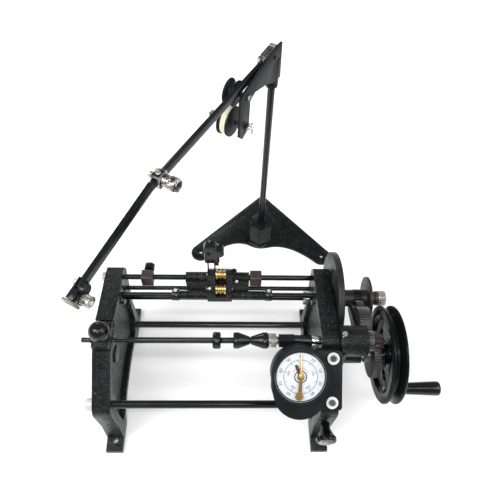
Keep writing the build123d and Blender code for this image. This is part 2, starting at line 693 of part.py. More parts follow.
# ---- travel stops -------------------------------------------------------------
for name, start in (("travel_stop_left", -85.0), ("travel_stop_right", 34.4)):
    with BuildPart() as travel_stop:
        with BuildSketch(across(start, 0, 0)):
            with Locations((guide_y + 0.5, 116.8)):
                RectangleRounded(13.0, 15.6, 2.6)
            with Locations((guide_y, guide_z)):
                Circle(guide_r + slide_fit, mode=Mode.SUBTRACT)
        extrude(amount=12.6)
        with BuildSketch(across(start - 1, guide_y, 110.2)):
            Rectangle(1.2, 6.0)
        extrude(amount=16, mode=Mode.SUBTRACT)
        if start < 0:
            with BuildSketch(Plane.XZ.offset(-70.6)):
                with Locations((start + 7.0, 117.5)):
                    Circle(2.0)
            extrude(amount=-4.0)
            with BuildSketch(Plane.XZ.offset(-74.2)):
                with Locations((start + 7.0, 117.5)):
                    Circle(5.6)
            extrude(amount=-7.0)
    travel_stop.part.label = name
    export_step(travel_stop.part, "parts/" + name + ".step")

# ---- revolution counter -------------------------------------------------------------
case_base, plate_top, case_top, bezel_top = 4.0, 20.0, 26.0, 31.0
bezel_r, lip_r, dial_r = 27.3, 24.8, 24.4
with BuildPart() as counter_case:
    with BuildSketch(counter_plane.offset(case_base)):
        with Locations((0, 0.3)):
            Circle(bezel_r)
        with Locations((0, -15.4)):
            Circle(25.5)
        with Locations((-0.3, -7.0)):
            Rectangle(52.4, 16.0)
    extrude(amount=case_top - case_base)
    with BuildSketch(counter_plane.offset(case_base)):
        with Locations((20.9, -5.3)):
            RectangleRounded(40.2, 57.0, 3.0)
    extrude(amount=plate_top - case_base)
    with BuildSketch(counter_plane.offset(0.1)):
        with Locations((frame_x - dial_x, -4.4)):
            RectangleRounded(frame_width - 2.0, 52.0, 2.0)
    extrude(amount=case_base)
    with BuildSketch(counter_plane.offset(case_top - 0.1)):
        with Locations((0, 0.2)):
            Circle(26.7)
    extrude(amount=bezel_top - case_top + 0.1)
    with BuildSketch(counter_plane.offset(bezel_top)):
        Circle(lip_r)
    extrude(amount=-5.4, taper=-0.0, mode=Mode.SUBTRACT)
    with BuildSketch(counter_plane.offset(bezel_top)):
        Circle(1.2)
    extrude(amount=-14.0, mode=Mode.SUBTRACT)
    with BuildSketch(counter_plane.offset(-1)):
        for spot, sx, sy in screw_spots:
            with Locations((sx, sy)):
                Circle(2.1)
    extrude(amount=32.0, mode=Mode.SUBTRACT)
counter_case.part.label = "counter_case"
export_step(counter_case.part, "parts/counter_case.step")

with BuildPart() as counter_dial:
    with BuildSketch(counter_plane.offset(bezel_top - 5.2)):
        Circle(dial_r)
        Circle(1.2, mode=Mode.SUBTRACT)
    extrude(amount=1.0)
counter_dial.part.label = "counter_dial"
export_step(counter_dial.part, "parts/counter_dial.step")

with BuildPart() as hand_short:
    with BuildSketch(counter_plane.offset(bezel_top - 3.8)):
        Circle(3.4)
        with Locations(Location((0, 0, 0), (0, 0, 112))):
            with Locations((6.6, 0)):
                Trapezoid(11.5, 2.6, 84, rotation=180)
        Circle(1.0, mode=Mode.SUBTRACT)
    extrude(amount=0.8)
hand_short.part.label = "hand_short"
export_step(hand_short.part, "parts/hand_short.step")

with BuildPart() as hand_long:
    with BuildSketch(counter_plane.offset(bezel_top - 2.6)):
        Circle(3.2)
        with BuildLine():
            Polyline((-1.5, 0), (-0.35, 22.6), (0.35, 22.6), (1.5, 0), close=True)
        make_face()
        with BuildLine():
            Polyline((-1.3, 0), (-2.6, -15.0), (1.0, -15.0), (1.3, 0), close=True)
        make_face()
        with Locations((-1.4, -18.0)):
            Circle(3.8)
    extrude(amount=0.9)
    with BuildSketch(counter_plane.offset(bezel_top - 13.0)):
        Circle(0.9)
    extrude(amount=12.4)
hand_long.part.label = "hand_long"
export_step(hand_long.part, "parts/hand_long.step")

with BuildPart() as counter_screws:
    for spot, sx, sy in screw_spots:
        with BuildSketch(counter_plane.offset(-screw_depth)):
            with Locations((sx, sy)):
                Circle(2.0)
        extrude(amount=plate_top + screw_depth + 0.6)
        with BuildSketch(counter_plane.offset(plate_top + 0.1)):
            with Locations((sx, sy)):
                Circle(5.8)
        extrude(amount=2.2)
        with BuildSketch(counter_plane.offset(plate_top + 2.3)):
            with Locations((sx, sy)):
                Circle(3.8)
        extrude(amount=-1.2, mode=Mode.SUBTRACT)
        with BuildSketch(counter_plane.offset(plate_top + 1.0)):
            with Locations((sx, sy)):
                Circle(2.9)
        extrude(amount=2.2)
        with BuildSketch(counter_plane.offset(plate_top + 3.2)):
            with Locations((sx, sy)):
                RegularPolygon(1.6, 6)
        extrude(amount=-1.6, mode=Mode.SUBTRACT)
counter_screws.part.label = "counter_screws"
export_step(counter_screws.part, "parts/counter_screws.step")

# ---- hinged cap over the left spindle bearing, with its ball lever -------------------------------------------------------------
cap_width = frame_width - 1.0
saddle_gap = 0.6
with BuildPart() as bearing_cap:
    with BuildSketch(across(-frame_x - cap_width / 2, 0, 0)):
        with BuildLine():
            Polyline((cap_front, spindle_z + part_gap), (hinge_y, spindle_z + part_gap + 0.6), (hinge_y, hinge_z + 5.0),
                     (-12.0, spindle_z + 12.0), (-22.0, spindle_z + 12.5), (cap_front, spindle_z + 8.0), close=True)
        make_face()
        with Locations((hinge_y, hinge_z)):
            Circle(hinge_r)
        with Locations((spindle_y, spindle_z)):
            Circle(spindle_r + saddle_gap, mode=Mode.SUBTRACT)
    extrude(amount=cap_width)
    with BuildSketch(across(-frame_x - cap_width / 2 - 1, hinge_y, hinge_z)):
        Circle(1.6)
    extrude(amount=cap_width + 2, mode=Mode.SUBTRACT)
    with BuildSketch(Plane.XY.offset(spindle_z + 7.0)):
        with Locations((-frame_x + 1.9, -23.0)):
            Circle(2.0)
    extrude(amount=20, mode=Mode.SUBTRACT)
bearing_cap.part.label = "bearing_cap"
export_step(bearing_cap.part, "parts/bearing_cap.step")

ball_r = 9.9
ball_z = 155.6
with BuildPart() as ball_lever:
    with BuildSketch(Plane.XY.offset(spindle_z + 7.4)):
        with Locations((-frame_x + 1.9, -23.0)):
            Circle(1.95)
    extrude(amount=16.0)
    with Locations((-frame_x + 1.9, -23.0, ball_z)):
        Sphere(ball_r)
    with BuildSketch(Plane.XY.offset(ball_z - ball_r - 2.2)):
        with Locations((-frame_x + 1.9, -23.0)):
            Circle(4.0)
    extrude(amount=4.0)
ball_lever.part.label = "ball_lever"
export_step(ball_lever.part, "parts/ball_lever.step")

# ---- fluted knob on the front of the right frame -------------------------------------------------------------
knob_front = 97.5
with BuildPart() as front_knob:
    with BuildSketch(Plane(origin=(frame_x, 0, knob_z), x_dir=(0, -1, 0), z_dir=(1, 0, 0))):
        with BuildLine():
            Polyline((66.0, 0), (66.0, knob_stud_r), (78.0, knob_stud_r), (78.0, 5.0), (84.0, 5.0), (91.0, 8.6),
                     (93.0, 10.2), (knob_front - 1.0, 10.2), (knob_front, 9.2), (knob_front, 0), close=True)
        make_face()
    revolve(axis=Axis((frame_x, 0, knob_z), (0, -1, 0)))
    with BuildSketch(Plane.XZ.offset(83.0)):
        with Locations((frame_x, knob_z)):
            with PolarLocations(11.4, 7):
                Circle(2.8)
    extrude(amount=20.0, mode=Mode.SUBTRACT)
front_knob.part.label = "front_knob"
export_step(front_knob.part, "parts/front_knob.step")

# ---- stand: base plate, boss and post -------------------------------------------------------------
post_x, post_y = 54.4, 210.7
post_r = 4.0
plate_thick = 3.5
lobe_l = (-30.4, 185.5)
lobe_r = (141.9, 180.0)
lobe_radius = 13.0
with BuildPart() as stand_base:
    with BuildSketch(Plane.XY):
        with BuildLine():
            Line((-38.8, 195.4), (54.0, 291.0))
            ThreePointArc((54.0, 291.0), (60.0, 294.0), (66.0, 291.0))
            Line((66.0, 291.0), (150.6, 190.2))
            ThreePointArc((150.6, 190.2), (151.4, 171.2), (134.5, 169.0))
            Spline((134.5, 169.0), (111.8, 187.0), (85.8, 197.6), (69.0, 197.2))
            Spline((69.0, 197.2), (60.0, 195.6), (50.0, 196.0), (40.1, 199.7))
            Spline((40.1, 199.7), (22.5, 203.8), (3.2, 197.8), (-19.0, 178.8))
            ThreePointArc((-19.0, 178.8), (-39.0, 175.8), (-38.8, 195.4))
        make_face()
        with Locations(lobe_l, lobe_r, (60.0, 281.0)):
            Circle(2.6, mode=Mode.SUBTRACT)
        with Locations((post_x, post_y)):
            Circle(3.2, mode=Mode.SUBTRACT)
    extrude(amount=plate_thick)
stand_base.part.label = "stand_base"
export_step(stand_base.part, "parts/stand_base.step")

boss_top = 42.0
with BuildPart() as stand_boss:
    with BuildSketch(Plane.XY.offset(plate_thick + 0.05)):
        with Locations((post_x, post_y)):
            RegularPolygon(18.5, 6, rotation=30)
    extrude(amount=5.0)
    with BuildSketch(Plane.XY.offset(plate_thick + 5.0)):
        with Locations((post_x, post_y)):
            RegularPolygon(16.5, 6, rotation=30)
    extrude(amount=boss_top - plate_thick - 5.0)
    with BuildSketch(Plane.XY.offset(boss_top - 0.1)):
        with Locations((post_x, post_y)):
            Circle(14.0)
    extrude(amount=2.6)
    with BuildSketch(Plane.XY.offset(boss_top + 2.4)):
        with Locations((post_x, post_y)):
            Circle(7.0)
    extrude(amount=3.0)
    with BuildSketch(Plane.XY):
        with Locations((post_x, post_y)):
            Circle(post_r + rod_fit)
    extrude(amount=60.0, mode=Mode.SUBTRACT)
stand_boss.part.label = "stand_boss"
export_step(stand_boss.part, "parts/stand_boss.step")

post_top = 298.5
with BuildPart() as stand_post:
    with BuildSketch(Plane.XY.offset(plate_thick + 0.1)):
        with Locations((post_x, post_y)):
            Circle(post_r)
    extrude(amount=post_top - plate_thick - 0.1)
    with BuildSketch(Plane.XY.offset(plate_thick - 2.0)):
        with Locations((post_x, post_y)):
            Circle(3.1)
    extrude(amount=3.0)
    with BuildSketch(Plane.XY.offset(265.0)):
        with Locations((post_x, post_y)):
            Circle(6.5)
    extrude(amount=4.0)
stand_post.part.label = "stand_post"
export_step(stand_post.part, "parts/stand_post.step")

# ---- swivelling head of the stand: local frame s forward, b to the right, z up -------------------------------------------------------------
turn = math.radians(-119.2)
sx, sy = math.cos(turn), math.sin(turn)
bx, by = -sy, sx


def stand_point(s, b, z):
    return (post_x + sx * s + bx * b, post_y + sy * s + by * b, z)


def side_plane(b):
    return Plane(origin=stand_point(0, b, 0), x_dir=(sx, sy, 0), z_dir=(-bx, -by, 0))


# extruding a side_plane sketch goes towards the left, so each starts at its right-hand face
hub_low, hub_high = 270.0, 298.5
cheek_in, cheek_out = 3.8, 6.0
pulley_hi = (64.5, 292.8)
pulley_lo = (66.5, 260.0)
axle_r = 2.0
pivot_s, pivot_z = 10.0, 305.4
pivot_r = 2.0
upper_in, upper_out = 4.8, 17.0
lower_in, lower_out = 6.4, 21.6
with BuildPart() as stand_bracket:
    with BuildSketch(side_plane(cheek_out)):
        with BuildLine():
            Polyline((-7.0, 274.0), (-5.0, 314.5), (9.0, 315.0), (73.0, 302.0), (79.0, 298.0), (80.5, 256.0),
                     (74.0, 249.0), (61.0, 254.0), (59.5, 286.0), (50.0, 290.0), (26.0, 284.0), (8.0, 276.0),
                     close=True)
        make_face()
    extrude(amount=cheek_out - cheek_in)
    with BuildSketch(side_plane(-cheek_in)):
        with BuildLine():
            Polyline((-5.0, 284.0), (-4.0, 310.5), (18.0, 309.5), (18.0, 299.0), (8.0, 288.0), close=True)
        make_face()
    extrude(amount=cheek_out - cheek_in)
    with BuildSketch(Plane.XY.offset(hub_low)):
        with Locations((post_x, post_y)):
            Circle(6.6)
    extrude(amount=hub_high - hub_low)
    with BuildSketch(Plane.XY.offset(hub_low - 1)):
        with Locations((post_x, post_y)):
            Circle(post_r + run_fit)
    extrude(amount=hub_high - hub_low + 2, mode=Mode.SUBTRACT)
    with BuildSketch(side_plane(cheek_out + 1.5)):
        with Locations((pivot_s, pivot_z)):
            Circle(pivot_r)
    extrude(amount=2 * cheek_out + 2.6)
    with BuildSketch(side_plane(cheek_out + 0.5)):
        with Locations(pulley_hi):
            Circle(axle_r)
    extrude(amount=cheek_out + 17.9)
    with BuildSketch(side_plane(-upper_out - 0.4)):
        with Locations(pulley_hi):
            Circle(3.4)
    extrude(amount=1.6)
    with BuildSketch(side_plane(cheek_out + 1)):
        with Locations(pulley_lo):
            Circle(axle_r + rod_fit)
    extrude(amount=4.0, mode=Mode.SUBTRACT)
stand_bracket.part.label = "stand_bracket"
export_step(stand_bracket.part, "parts/stand_bracket.step")

with BuildPart() as pulley_axle:
    with BuildSketch(side_plane(14.5)):
        with Locations(pulley_lo):
            Circle(axle_r)
    extrude(amount=51.0)
    with BuildSketch(side_plane(cheek_out + 3.5)):
        with Locations(pulley_lo):
            RegularPolygon(4.2, 6)
    extrude(amount=3.2)
    with BuildSketch(side_plane(-26.0)):
        with Locations(pulley_lo):
            RegularPolygon(4.6, 6)
    extrude(amount=4.0)
    with BuildSketch(Plane.XY.offset(pulley_lo[1] - 6.5)):
        with Locations(stand_point(pulley_lo[0], 12.6, 0)[:2]):
            Circle(1.1)
    extrude(amount=13.0)
pulley_axle.part.label = "pulley_axle"
export_step(pulley_axle.part, "parts/pulley_axle.step")

with BuildPart() as pulley_upper:
    with BuildSketch(Plane(origin=stand_point(pulley_hi[0], 0, pulley_hi[1]), x_dir=(bx, by, 0), z_dir=(sx, sy, 0))):
        with BuildLine():
            Polyline((-upper_in, axle_r + run_fit), (-upper_in, 5.0), (-upper_in - 1.2, 12.8), (-upper_in - 2.6, 12.8),
                     (-upper_in - 5.2, 8.6), (-upper_out + 5.2, 8.6), (-upper_out + 2.6, 12.8), (-upper_out + 1.2, 12.8),
                     (-upper_out, 5.0), (-upper_out, axle_r + run_fit), close=True)
        make_face()
    revolve(axis=Axis(stand_point(pulley_hi[0], 0, pulley_hi[1]), (bx, by, 0)))
pulley_upper.part.label = "pulley_upper"
export_step(pulley_upper.part, "parts/pulley_upper.step")

felt_in, felt_out = 7.0, 14.4
with BuildPart() as pulley_lower:
    with BuildSketch(Plane(origin=stand_point(pulley_lo[0], 0, pulley_lo[1]), x_dir=(bx, by, 0), z_dir=(sx, sy, 0))):
        with BuildLine():
            Polyline((-lower_in, axle_r + run_fit), (-lower_in, 6.0), (-lower_in - 1.6, 15.6), (-lower_in - 4.0, 15.6),
                     (-lower_in - 5.0, felt_in), (-lower_out + 5.0, felt_in), (-lower_out + 4.0, 15.6),
                     (-lower_out + 1.6, 15.6), (-lower_out, 6.0), (-lower_out, axle_r + run_fit), close=True)
        make_face()
    revolve(axis=Axis(stand_point(pulley_lo[0], 0, pulley_lo[1]), (bx, by, 0)))
pulley_lower.part.label = "pulley_lower"
export_step(pulley_lower.part, "parts/pulley_lower.step")

with BuildPart() as felt_ring:
    with BuildSketch(Plane(origin=stand_point(pulley_lo[0], 0, pulley_lo[1]), x_dir=(bx, by, 0), z_dir=(sx, sy, 0))):
        with BuildLine():
            Polyline((-lower_in - 5.2, felt_in + 0.1), (-lower_in - 4.6, felt_out), (-lower_out + 4.6, felt_out),
                     (-lower_out + 5.2, felt_in + 0.1), close=True)
        make_face()
    revolve(axis=Axis(stand_point(pulley_lo[0], 0, pulley_lo[1]), (bx, by, 0)))
felt_ring.part.label = "felt_ring"
export_step(felt_ring.part, "parts/felt_ring.step")

# ---- tension arm: an upper bar from the head, then a lower bar that droops from the clip --------------------
bend_s, bend_z = 214.0, 302.7
tip_s, tip_z = 303.5, 281.8
bar_half, bar_high = 2.0, 7.0
bar_back = 12.0


def slope_of(s0, z0, s1, z1):
    length = math.hypot(s1 - s0, z1 - z0)
    return (s1 - s0) / length, (z1 - z0) / length, length


up_c, up_s, up_len = slope_of(pivot_s, pivot_z, bend_s, bend_z)
low_c, low_s, low_len = slope_of(bend_s, bend_z, tip_s, tip_z)


def upper_side(b):
    return Plane(origin=stand_point(pivot_s, b, pivot_z), x_dir=(sx * up_c, sy * up_c, up_s), z_dir=(-bx, -by, 0))


def lower_side(b):
    return Plane(origin=stand_point(bend_s, b, bend_z), x_dir=(sx * low_c, sy * low_c, low_s), z_dir=(-bx, -by, 0))


def upper_section(u):
    point = stand_point(pivot_s + up_c * u, 0, pivot_z + up_s * u)
    return Plane(origin=point, x_dir=(bx, by, 0), z_dir=(sx * up_c, sy * up_c, up_s))


def lower_section(u):
    point = stand_point(bend_s + low_c * u, 0, bend_z + low_s * u)
    return Plane(origin=point, x_dir=(bx, by, 0), z_dir=(sx * low_c, sy * low_c, low_s))


clamp_low, clamp_high = (-9.5, -4.5), (15.5, 20.5)
spring_lift = bar_high / 2 + 2.0
with BuildPart() as tension_arm:
    with BuildSketch(upper_side(bar_half)):
        with Locations(((up_len - bar_back) / 2, 0)):
            RectangleRounded(up_len + bar_back, bar_high, 1.5)
    extrude(amount=2 * bar_half)
    with BuildSketch(lower_side(bar_half)):
        with Locations((low_len / 2, 0)):
            RectangleRounded(low_len + 6.0, bar_high, 1.5)
    extrude(amount=2 * bar_half)
    for low, high in (clamp_low, clamp_high):
        with BuildSketch(upper_section(low)):
            with Locations((0, 1.8)):
                Rectangle(2 * bar_half + 2.6, bar_high + 5.8)
        extrude(amount=high - low)
    with BuildSketch(upper_side(bar_half + 1)):
        Circle(pivot_r + run_fit)
    extrude(amount=2 * bar_half + 2, mode=Mode.SUBTRACT)
tension_arm.part.label = "tension_arm"
export_step(tension_arm.part, "parts/tension_arm.step")

spring_r, spring_wire, spring_pitch = 1.2, 0.3, 1.5
spring_start, spring_len = -4.1, 19.2


def coil_gap(pitch, length, radius, wire):
    # least distance between any point of the coil's line and the turns after it, less the wire itself
    steps = 72
    count = int(length / pitch * steps)
    points = []
    for k in range(count + 1):
        angle = 2 * math.pi * k / steps
        points.append((radius * math.cos(angle), radius * math.sin(angle), pitch * k / steps))
    least = 1000.0
    for i, a in enumerate(points):
        for b in points[i + steps // 2:i + 2 * steps]:
            least = min(least, math.dist(a, b))
    return least - 2 * wire


for name, b in (("arm_spring_left", -1.7), ("arm_spring_right", 1.7)):
    lift_s, lift_z = -up_s * spring_lift, up_c * spring_lift
    start = stand_point(pivot_s + up_c * spring_start + lift_s, b, pivot_z + up_s * spring_start + lift_z)
    with BuildPart() as arm_spring:
        with BuildLine() as coil:
            Helix(spring_pitch, spring_len, spring_r, center=start, direction=(sx * up_c, sy * up_c, up_s))
        with BuildSketch(Plane(origin=coil.line @ 0, z_dir=coil.line % 0)):
            Circle(spring_wire)
        sweep(is_frenet=True)
    arm_spring.part.label = name
    export_step(arm_spring.part, "parts/" + name + ".step")
    print(name, "least gap to itself, mm:", round(coil_gap(spring_pitch, spring_len, spring_r, spring_wire), 3))

clip_u = 192.0
with BuildPart() as arm_clip:
    with BuildSketch(upper_section(clip_u - 6.0)):
        with Locations((1.6, 0)):
            Rectangle(2 * bar_half + 9.2, bar_high + 6.0)
        Rectangle(2 * bar_half + 0.2, bar_high + 0.2, mode=Mode.SUBTRACT)
    extrude(amount=12.0)
    with BuildSketch(upper_side(19.0)):
        with Locations((clip_u, 0)):
            Circle(3.6)
    extrude(amount=19.0 - bar_half - 5.0)
    with BuildSketch(upper_side(16.6)):
        with Locations((clip_u, 0)):
            Circle(6.0)
            Circle(3.5, mode=Mode.SUBTRACT)
    extrude(amount=5.6)
    with BuildSketch(upper_side(-bar_half - 2.9)):
        with Locations((clip_u, 0)):
            Circle(3.0)
    extrude(amount=3.5)
arm_clip.part.label = "arm_clip"
export_step(arm_clip.part, "parts/arm_clip.step")

tip_left, tip_right, tip_half = -4.4, 6.6, 5.2
knob_u, knob_v = 7.0, -1.0
with BuildPart() as arm_tip:
    with BuildSketch(lower_section(low_len - 5.0)):
        with Locations(((tip_left + tip_right) / 2, 0)):
            Rectangle(tip_right - tip_left, 2 * tip_half)
        Rectangle(2 * bar_half + 0.1, bar_high + 0.1, mode=Mode.SUBTRACT)
    extrude(amount=8.6)
    with BuildSketch(lower_section(low_len + 3.5)):
        with Locations(((tip_left + tip_right) / 2, 0)):
            Rectangle(tip_right - tip_left, 2 * tip_half)
    extrude(amount=9.0)
    with BuildSketch(lower_side(14.9)):
        with Locations((low_len + knob_u, knob_v)):
            Circle(1.8)
    extrude(amount=9.0)
    with BuildSketch(lower_side(tip_left + 0.1)):
        with Locations((low_len - 1.0, 1.0)):
            Circle(2.4)
    extrude(amount=2.6)
arm_tip.part.label = "arm_tip"
export_step(arm_tip.part, "parts/arm_tip.step")

with BuildPart() as tip_knob:
    with BuildSketch(lower_side(13.6)):
        with Locations((low_len + knob_u, knob_v)):
            Circle(4.8)
            Circle(1.8 + run_fit, mode=Mode.SUBTRACT)
            with PolarLocations(4.8, 12):
                Circle(0.5, mode=Mode.SUBTRACT)
    extrude(amount=6.6)
tip_knob.part.label = "tip_knob"
export_step(tip_knob.part, "parts/tip_knob.step")

with BuildPart() as tip_pad:
    with BuildSketch(lower_section(low_len + 12.9)):
        with Locations((0.6, -0.6)):
            Rectangle(11.5, 9.4)
    extrude(amount=2.2)
tip_pad.part.label = "tip_pad"
export_step(tip_pad.part, "parts/tip_pad.step")

print("nodes exported:", len(os.listdir("parts")))
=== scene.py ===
import bmesh
import bpy
import json
import math
from mathutils import Matrix, Vector


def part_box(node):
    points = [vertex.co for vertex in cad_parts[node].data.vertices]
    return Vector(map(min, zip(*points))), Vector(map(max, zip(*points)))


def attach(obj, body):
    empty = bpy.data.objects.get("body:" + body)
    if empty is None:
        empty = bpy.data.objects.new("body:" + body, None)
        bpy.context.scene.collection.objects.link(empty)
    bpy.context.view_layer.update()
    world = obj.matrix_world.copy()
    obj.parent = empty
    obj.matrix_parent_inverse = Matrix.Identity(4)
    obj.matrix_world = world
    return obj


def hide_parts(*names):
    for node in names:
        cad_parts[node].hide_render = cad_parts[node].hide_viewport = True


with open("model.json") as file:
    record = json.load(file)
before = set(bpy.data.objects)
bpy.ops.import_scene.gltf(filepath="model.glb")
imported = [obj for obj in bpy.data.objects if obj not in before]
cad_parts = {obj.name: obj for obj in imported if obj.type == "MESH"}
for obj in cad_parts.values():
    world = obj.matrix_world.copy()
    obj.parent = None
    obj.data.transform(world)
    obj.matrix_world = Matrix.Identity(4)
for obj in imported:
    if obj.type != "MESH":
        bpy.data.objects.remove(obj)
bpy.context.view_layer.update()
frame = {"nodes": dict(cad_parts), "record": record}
print("frame loaded:", len(frame["nodes"]), "nodes")


# helpers for the materials
def startMaterial(name, color, roughness, metallic):
    material = bpy.data.materials.new(name)
    material.use_nodes = True
    shader = material.node_tree.nodes["Principled BSDF"]
    shader.inputs["Base Color"].default_value = (*color, 1)
    shader.inputs["Roughness"].default_value = roughness
    shader.inputs["Metallic"].default_value = metallic
    return material, material.node_tree, shader


def mappedCoords(tree, stretch=(1, 1, 1), shift=(0, 0, 0), turn=(0, 0, 0)):
    coords = tree.nodes.new("ShaderNodeTexCoord")
    mapping = tree.nodes.new("ShaderNodeMapping")
    mapping.inputs["Scale"].default_value = stretch
    mapping.inputs["Location"].default_value = shift
    mapping.inputs["Rotation"].default_value = turn
    tree.links.new(coords.outputs["Object"], mapping.inputs["Vector"])
    return mapping.outputs["Vector"]


def noiseOf(tree, vector, scale, detail=4.0, rough=0.55):
    noise = tree.nodes.new("ShaderNodeTexNoise")
    noise.inputs["Scale"].default_value = scale
    noise.inputs["Detail"].default_value = detail
    noise.inputs["Roughness"].default_value = rough
    tree.links.new(vector, noise.inputs["Vector"])
    return noise.outputs["Fac"]


def rampOf(tree, value, stops):
    ramp = tree.nodes.new("ShaderNodeValToRGB")
    ramp.color_ramp.elements[0].position = stops[0][0]
    ramp.color_ramp.elements[0].color = (*stops[0][1], 1)
    ramp.color_ramp.elements[1].position = stops[-1][0]
    ramp.color_ramp.elements[1].color = (*stops[-1][1], 1)
    for place, color in stops[1:-1]:
        ramp.color_ramp.elements.new(place).color = (*color, 1)
    tree.links.new(value, ramp.inputs["Fac"])
    return ramp.outputs["Color"]


def spreadOf(tree, value, low, high):
    spread = tree.nodes.new("ShaderNodeMapRange")
    spread.inputs["From Min"].default_value = 0.3
    spread.inputs["From Max"].default_value = 0.7
    spread.inputs["To Min"].default_value = low
    spread.inputs["To Max"].default_value = high
    tree.links.new(value, spread.inputs["Value"])
    return spread.outputs["Result"]


def bumpOf(tree, shader, heights):
    # several heights in a chain, each with its own depth in metres
    last = None
    for height, strength, distance in heights:
        bump = tree.nodes.new("ShaderNodeBump")
        bump.inputs["Strength"].default_value = strength
        bump.inputs["Distance"].default_value = distance
        tree.links.new(height, bump.inputs["Height"])
        if last:
            tree.links.new(last, bump.inputs["Normal"])
        last = bump.outputs["Normal"]
    tree.links.new(last, shader.inputs["Normal"])


# painted and moulded finishes
# the last two entries set the scale and colour of the painted highlight flecks
castPaint = {"dark": (0.0018, 0.0027, 0.0027), "light": (0.0080, 0.0105, 0.0102), "grain": 520, "lumps": 130,
             "flecks": 620, "glintColor": (0.15, 0.165, 0.16)}


def makeCastPaint(name, rough):
    material, tree, shader = startMaterial(name, castPaint["dark"], 0.5, 0.0)
    place = mappedCoords(tree)
    grain = noiseOf(tree, place, castPaint["grain"], 5)
    lumps = noiseOf(tree, place, castPaint["lumps"], 3)
    ground = rampOf(tree, lumps, [(0.35, castPaint["dark"]), (0.7, castPaint["light"])])
    # painted highlights: sparse bright flecks added to the base colour stand in for glints of light on the rough
    # paint
    glintSpots = noiseOf(tree, mappedCoords(tree, shift=(0.31, 0.17, 0.05)), castPaint["flecks"], 2, 0.4)
    wearAndGlints = rampOf(tree, glintSpots, [(0.715, (0, 0, 0)), (0.77, castPaint["glintColor"])])
    paint = tree.nodes.new("ShaderNodeMixRGB")
    paint.blend_type = "ADD"
    paint.inputs["Fac"].default_value = 1.0
    tree.links.new(ground, paint.inputs["Color1"])
    tree.links.new(wearAndGlints, paint.inputs["Color2"])
    tree.links.new(paint.outputs["Color"], shader.inputs["Base Color"])
    tree.links.new(spreadOf(tree, grain, 0.17, 0.38), shader.inputs["Roughness"])
    bumpOf(tree, shader, [(grain, rough, 0.0007), (lumps, 0.7 * rough, 0.0018)])
    shader.inputs["Specular IOR Level"].default_value = 0.18
    return material


smoothPaint = {"color": (0.0035, 0.0042, 0.0046), "roughness": 0.22}


def makeSmoothPaint():
    material, tree, shader = startMaterial("smoothPaint", smoothPaint["color"], smoothPaint["roughness"], 0.0)
    place = mappedCoords(tree)
    haze = noiseOf(tree, place, 60, 3)
    tree.links.new(spreadOf(tree, haze, 0.17, 0.30), shader.inputs["Roughness"])
    bumpOf(tree, shader, [(noiseOf(tree, place, 260, 2), 0.12, 0.0003)])
    shader.inputs["Specular IOR Level"].default_value = 0.11
    shader.inputs["Coat Weight"].default_value = 0.06
    shader.inputs["Coat Roughness"].default_value = 0.08
    return material


def makeGlossPlastic():
    material, tree, shader = startMaterial("glossPlastic", (0.003, 0.003, 0.003), 0.1, 0.0)
    haze = noiseOf(tree, mappedCoords(tree), 90, 2)
    tree.links.new(spreadOf(tree, haze, 0.07, 0.15), shader.inputs["Roughness"])
    shader.inputs["Specular IOR Level"].default_value = 0.28
    shader.inputs["Coat Weight"].default_value = 0.12
    return material


casePlastic = {"dark": (0.0040, 0.0052, 0.0060), "light": (0.0085, 0.0105, 0.0120)}


def makeCasePlastic():
    material, tree, shader = startMaterial("casePlastic", casePlastic["dark"], 0.48, 0.0)
    place = mappedCoords(tree)
    cloud = noiseOf(tree, place, 45, 3)
    color = rampOf(tree, cloud, [(0.3, casePlastic["dark"]), (0.7, casePlastic["light"])])
    tree.links.new(color, shader.inputs["Base Color"])
    tree.links.new(spreadOf(tree, cloud, 0.42, 0.55), shader.inputs["Roughness"])
    bumpOf(tree, shader, [(noiseOf(tree, place, 2200, 2), 0.25, 0.0001)])
    shader.inputs["Specular IOR Level"].default_value = 0.15
    return material


# metals
def makeMetal(name, dark, light, low, high, stretch=(1, 1, 1), metallic=1.0, scratch=0.12, shine=0.5):
    material, tree, shader = startMaterial(name, dark, low, metallic)
    drawn = noiseOf(tree, mappedCoords(tree, stretch), 900, 3)
    cloud = noiseOf(tree, mappedCoords(tree), 70, 3)
    tree.links.new(rampOf(tree, cloud, [(0.3, dark), (0.72, light)]), shader.inputs["Base Color"])
    tree.links.new(spreadOf(tree, drawn, low, high), shader.inputs["Roughness"])
    bumpOf(tree, shader, [(drawn, scratch, 0.00008)])
    shader.inputs["Specular IOR Level"].default_value = shine
    return material


wornNickel = {"dark": (0.030, 0.028, 0.024), "light": (0.50, 0.49, 0.46), "patches": 210}


def makeWornNickel():
    material, tree, shader = startMaterial("wornNickel", wornNickel["light"], 0.2, 0.85)
    place = mappedCoords(tree)
    patches = noiseOf(tree, place, wornNickel["patches"], 3, 0.5)
    stops = [(0.38, wornNickel["dark"]), (0.47, (0.19, 0.185, 0.17)), (0.57, wornNickel["light"])]
    tree.links.new(rampOf(tree, patches, stops), shader.inputs["Base Color"])
    tree.links.new(spreadOf(tree, patches, 0.42, 0.14), shader.inputs["Roughness"])
    bumpOf(tree, shader, [(patches, 0.4, 0.0003)])
    return material


fibre = {"dark": (0.016, 0.0085, 0.0080), "light": (0.046, 0.024, 0.021), "layers": 700}


def makeFibre():
    material, tree, shader = startMaterial("brownFibre", fibre["light"], 0.42, 0.0)
    layers = noiseOf(tree, mappedCoords(tree, (1, 0.12, 1)), fibre["layers"], 4)
    color = rampOf(tree, layers, [(0.3, fibre["dark"]), (0.7, fibre["light"])])
    tree.links.new(color, shader.inputs["Base Color"])
    tree.links.new(spreadOf(tree, layers, 0.36, 0.52), shader.inputs["Roughness"])
    bumpOf(tree, shader, [(layers, 0.25, 0.0002)])
    return material


felt = {"dark": (0.62, 0.57, 0.43), "light": (0.86, 0.82, 0.68), "hairs": 1500}


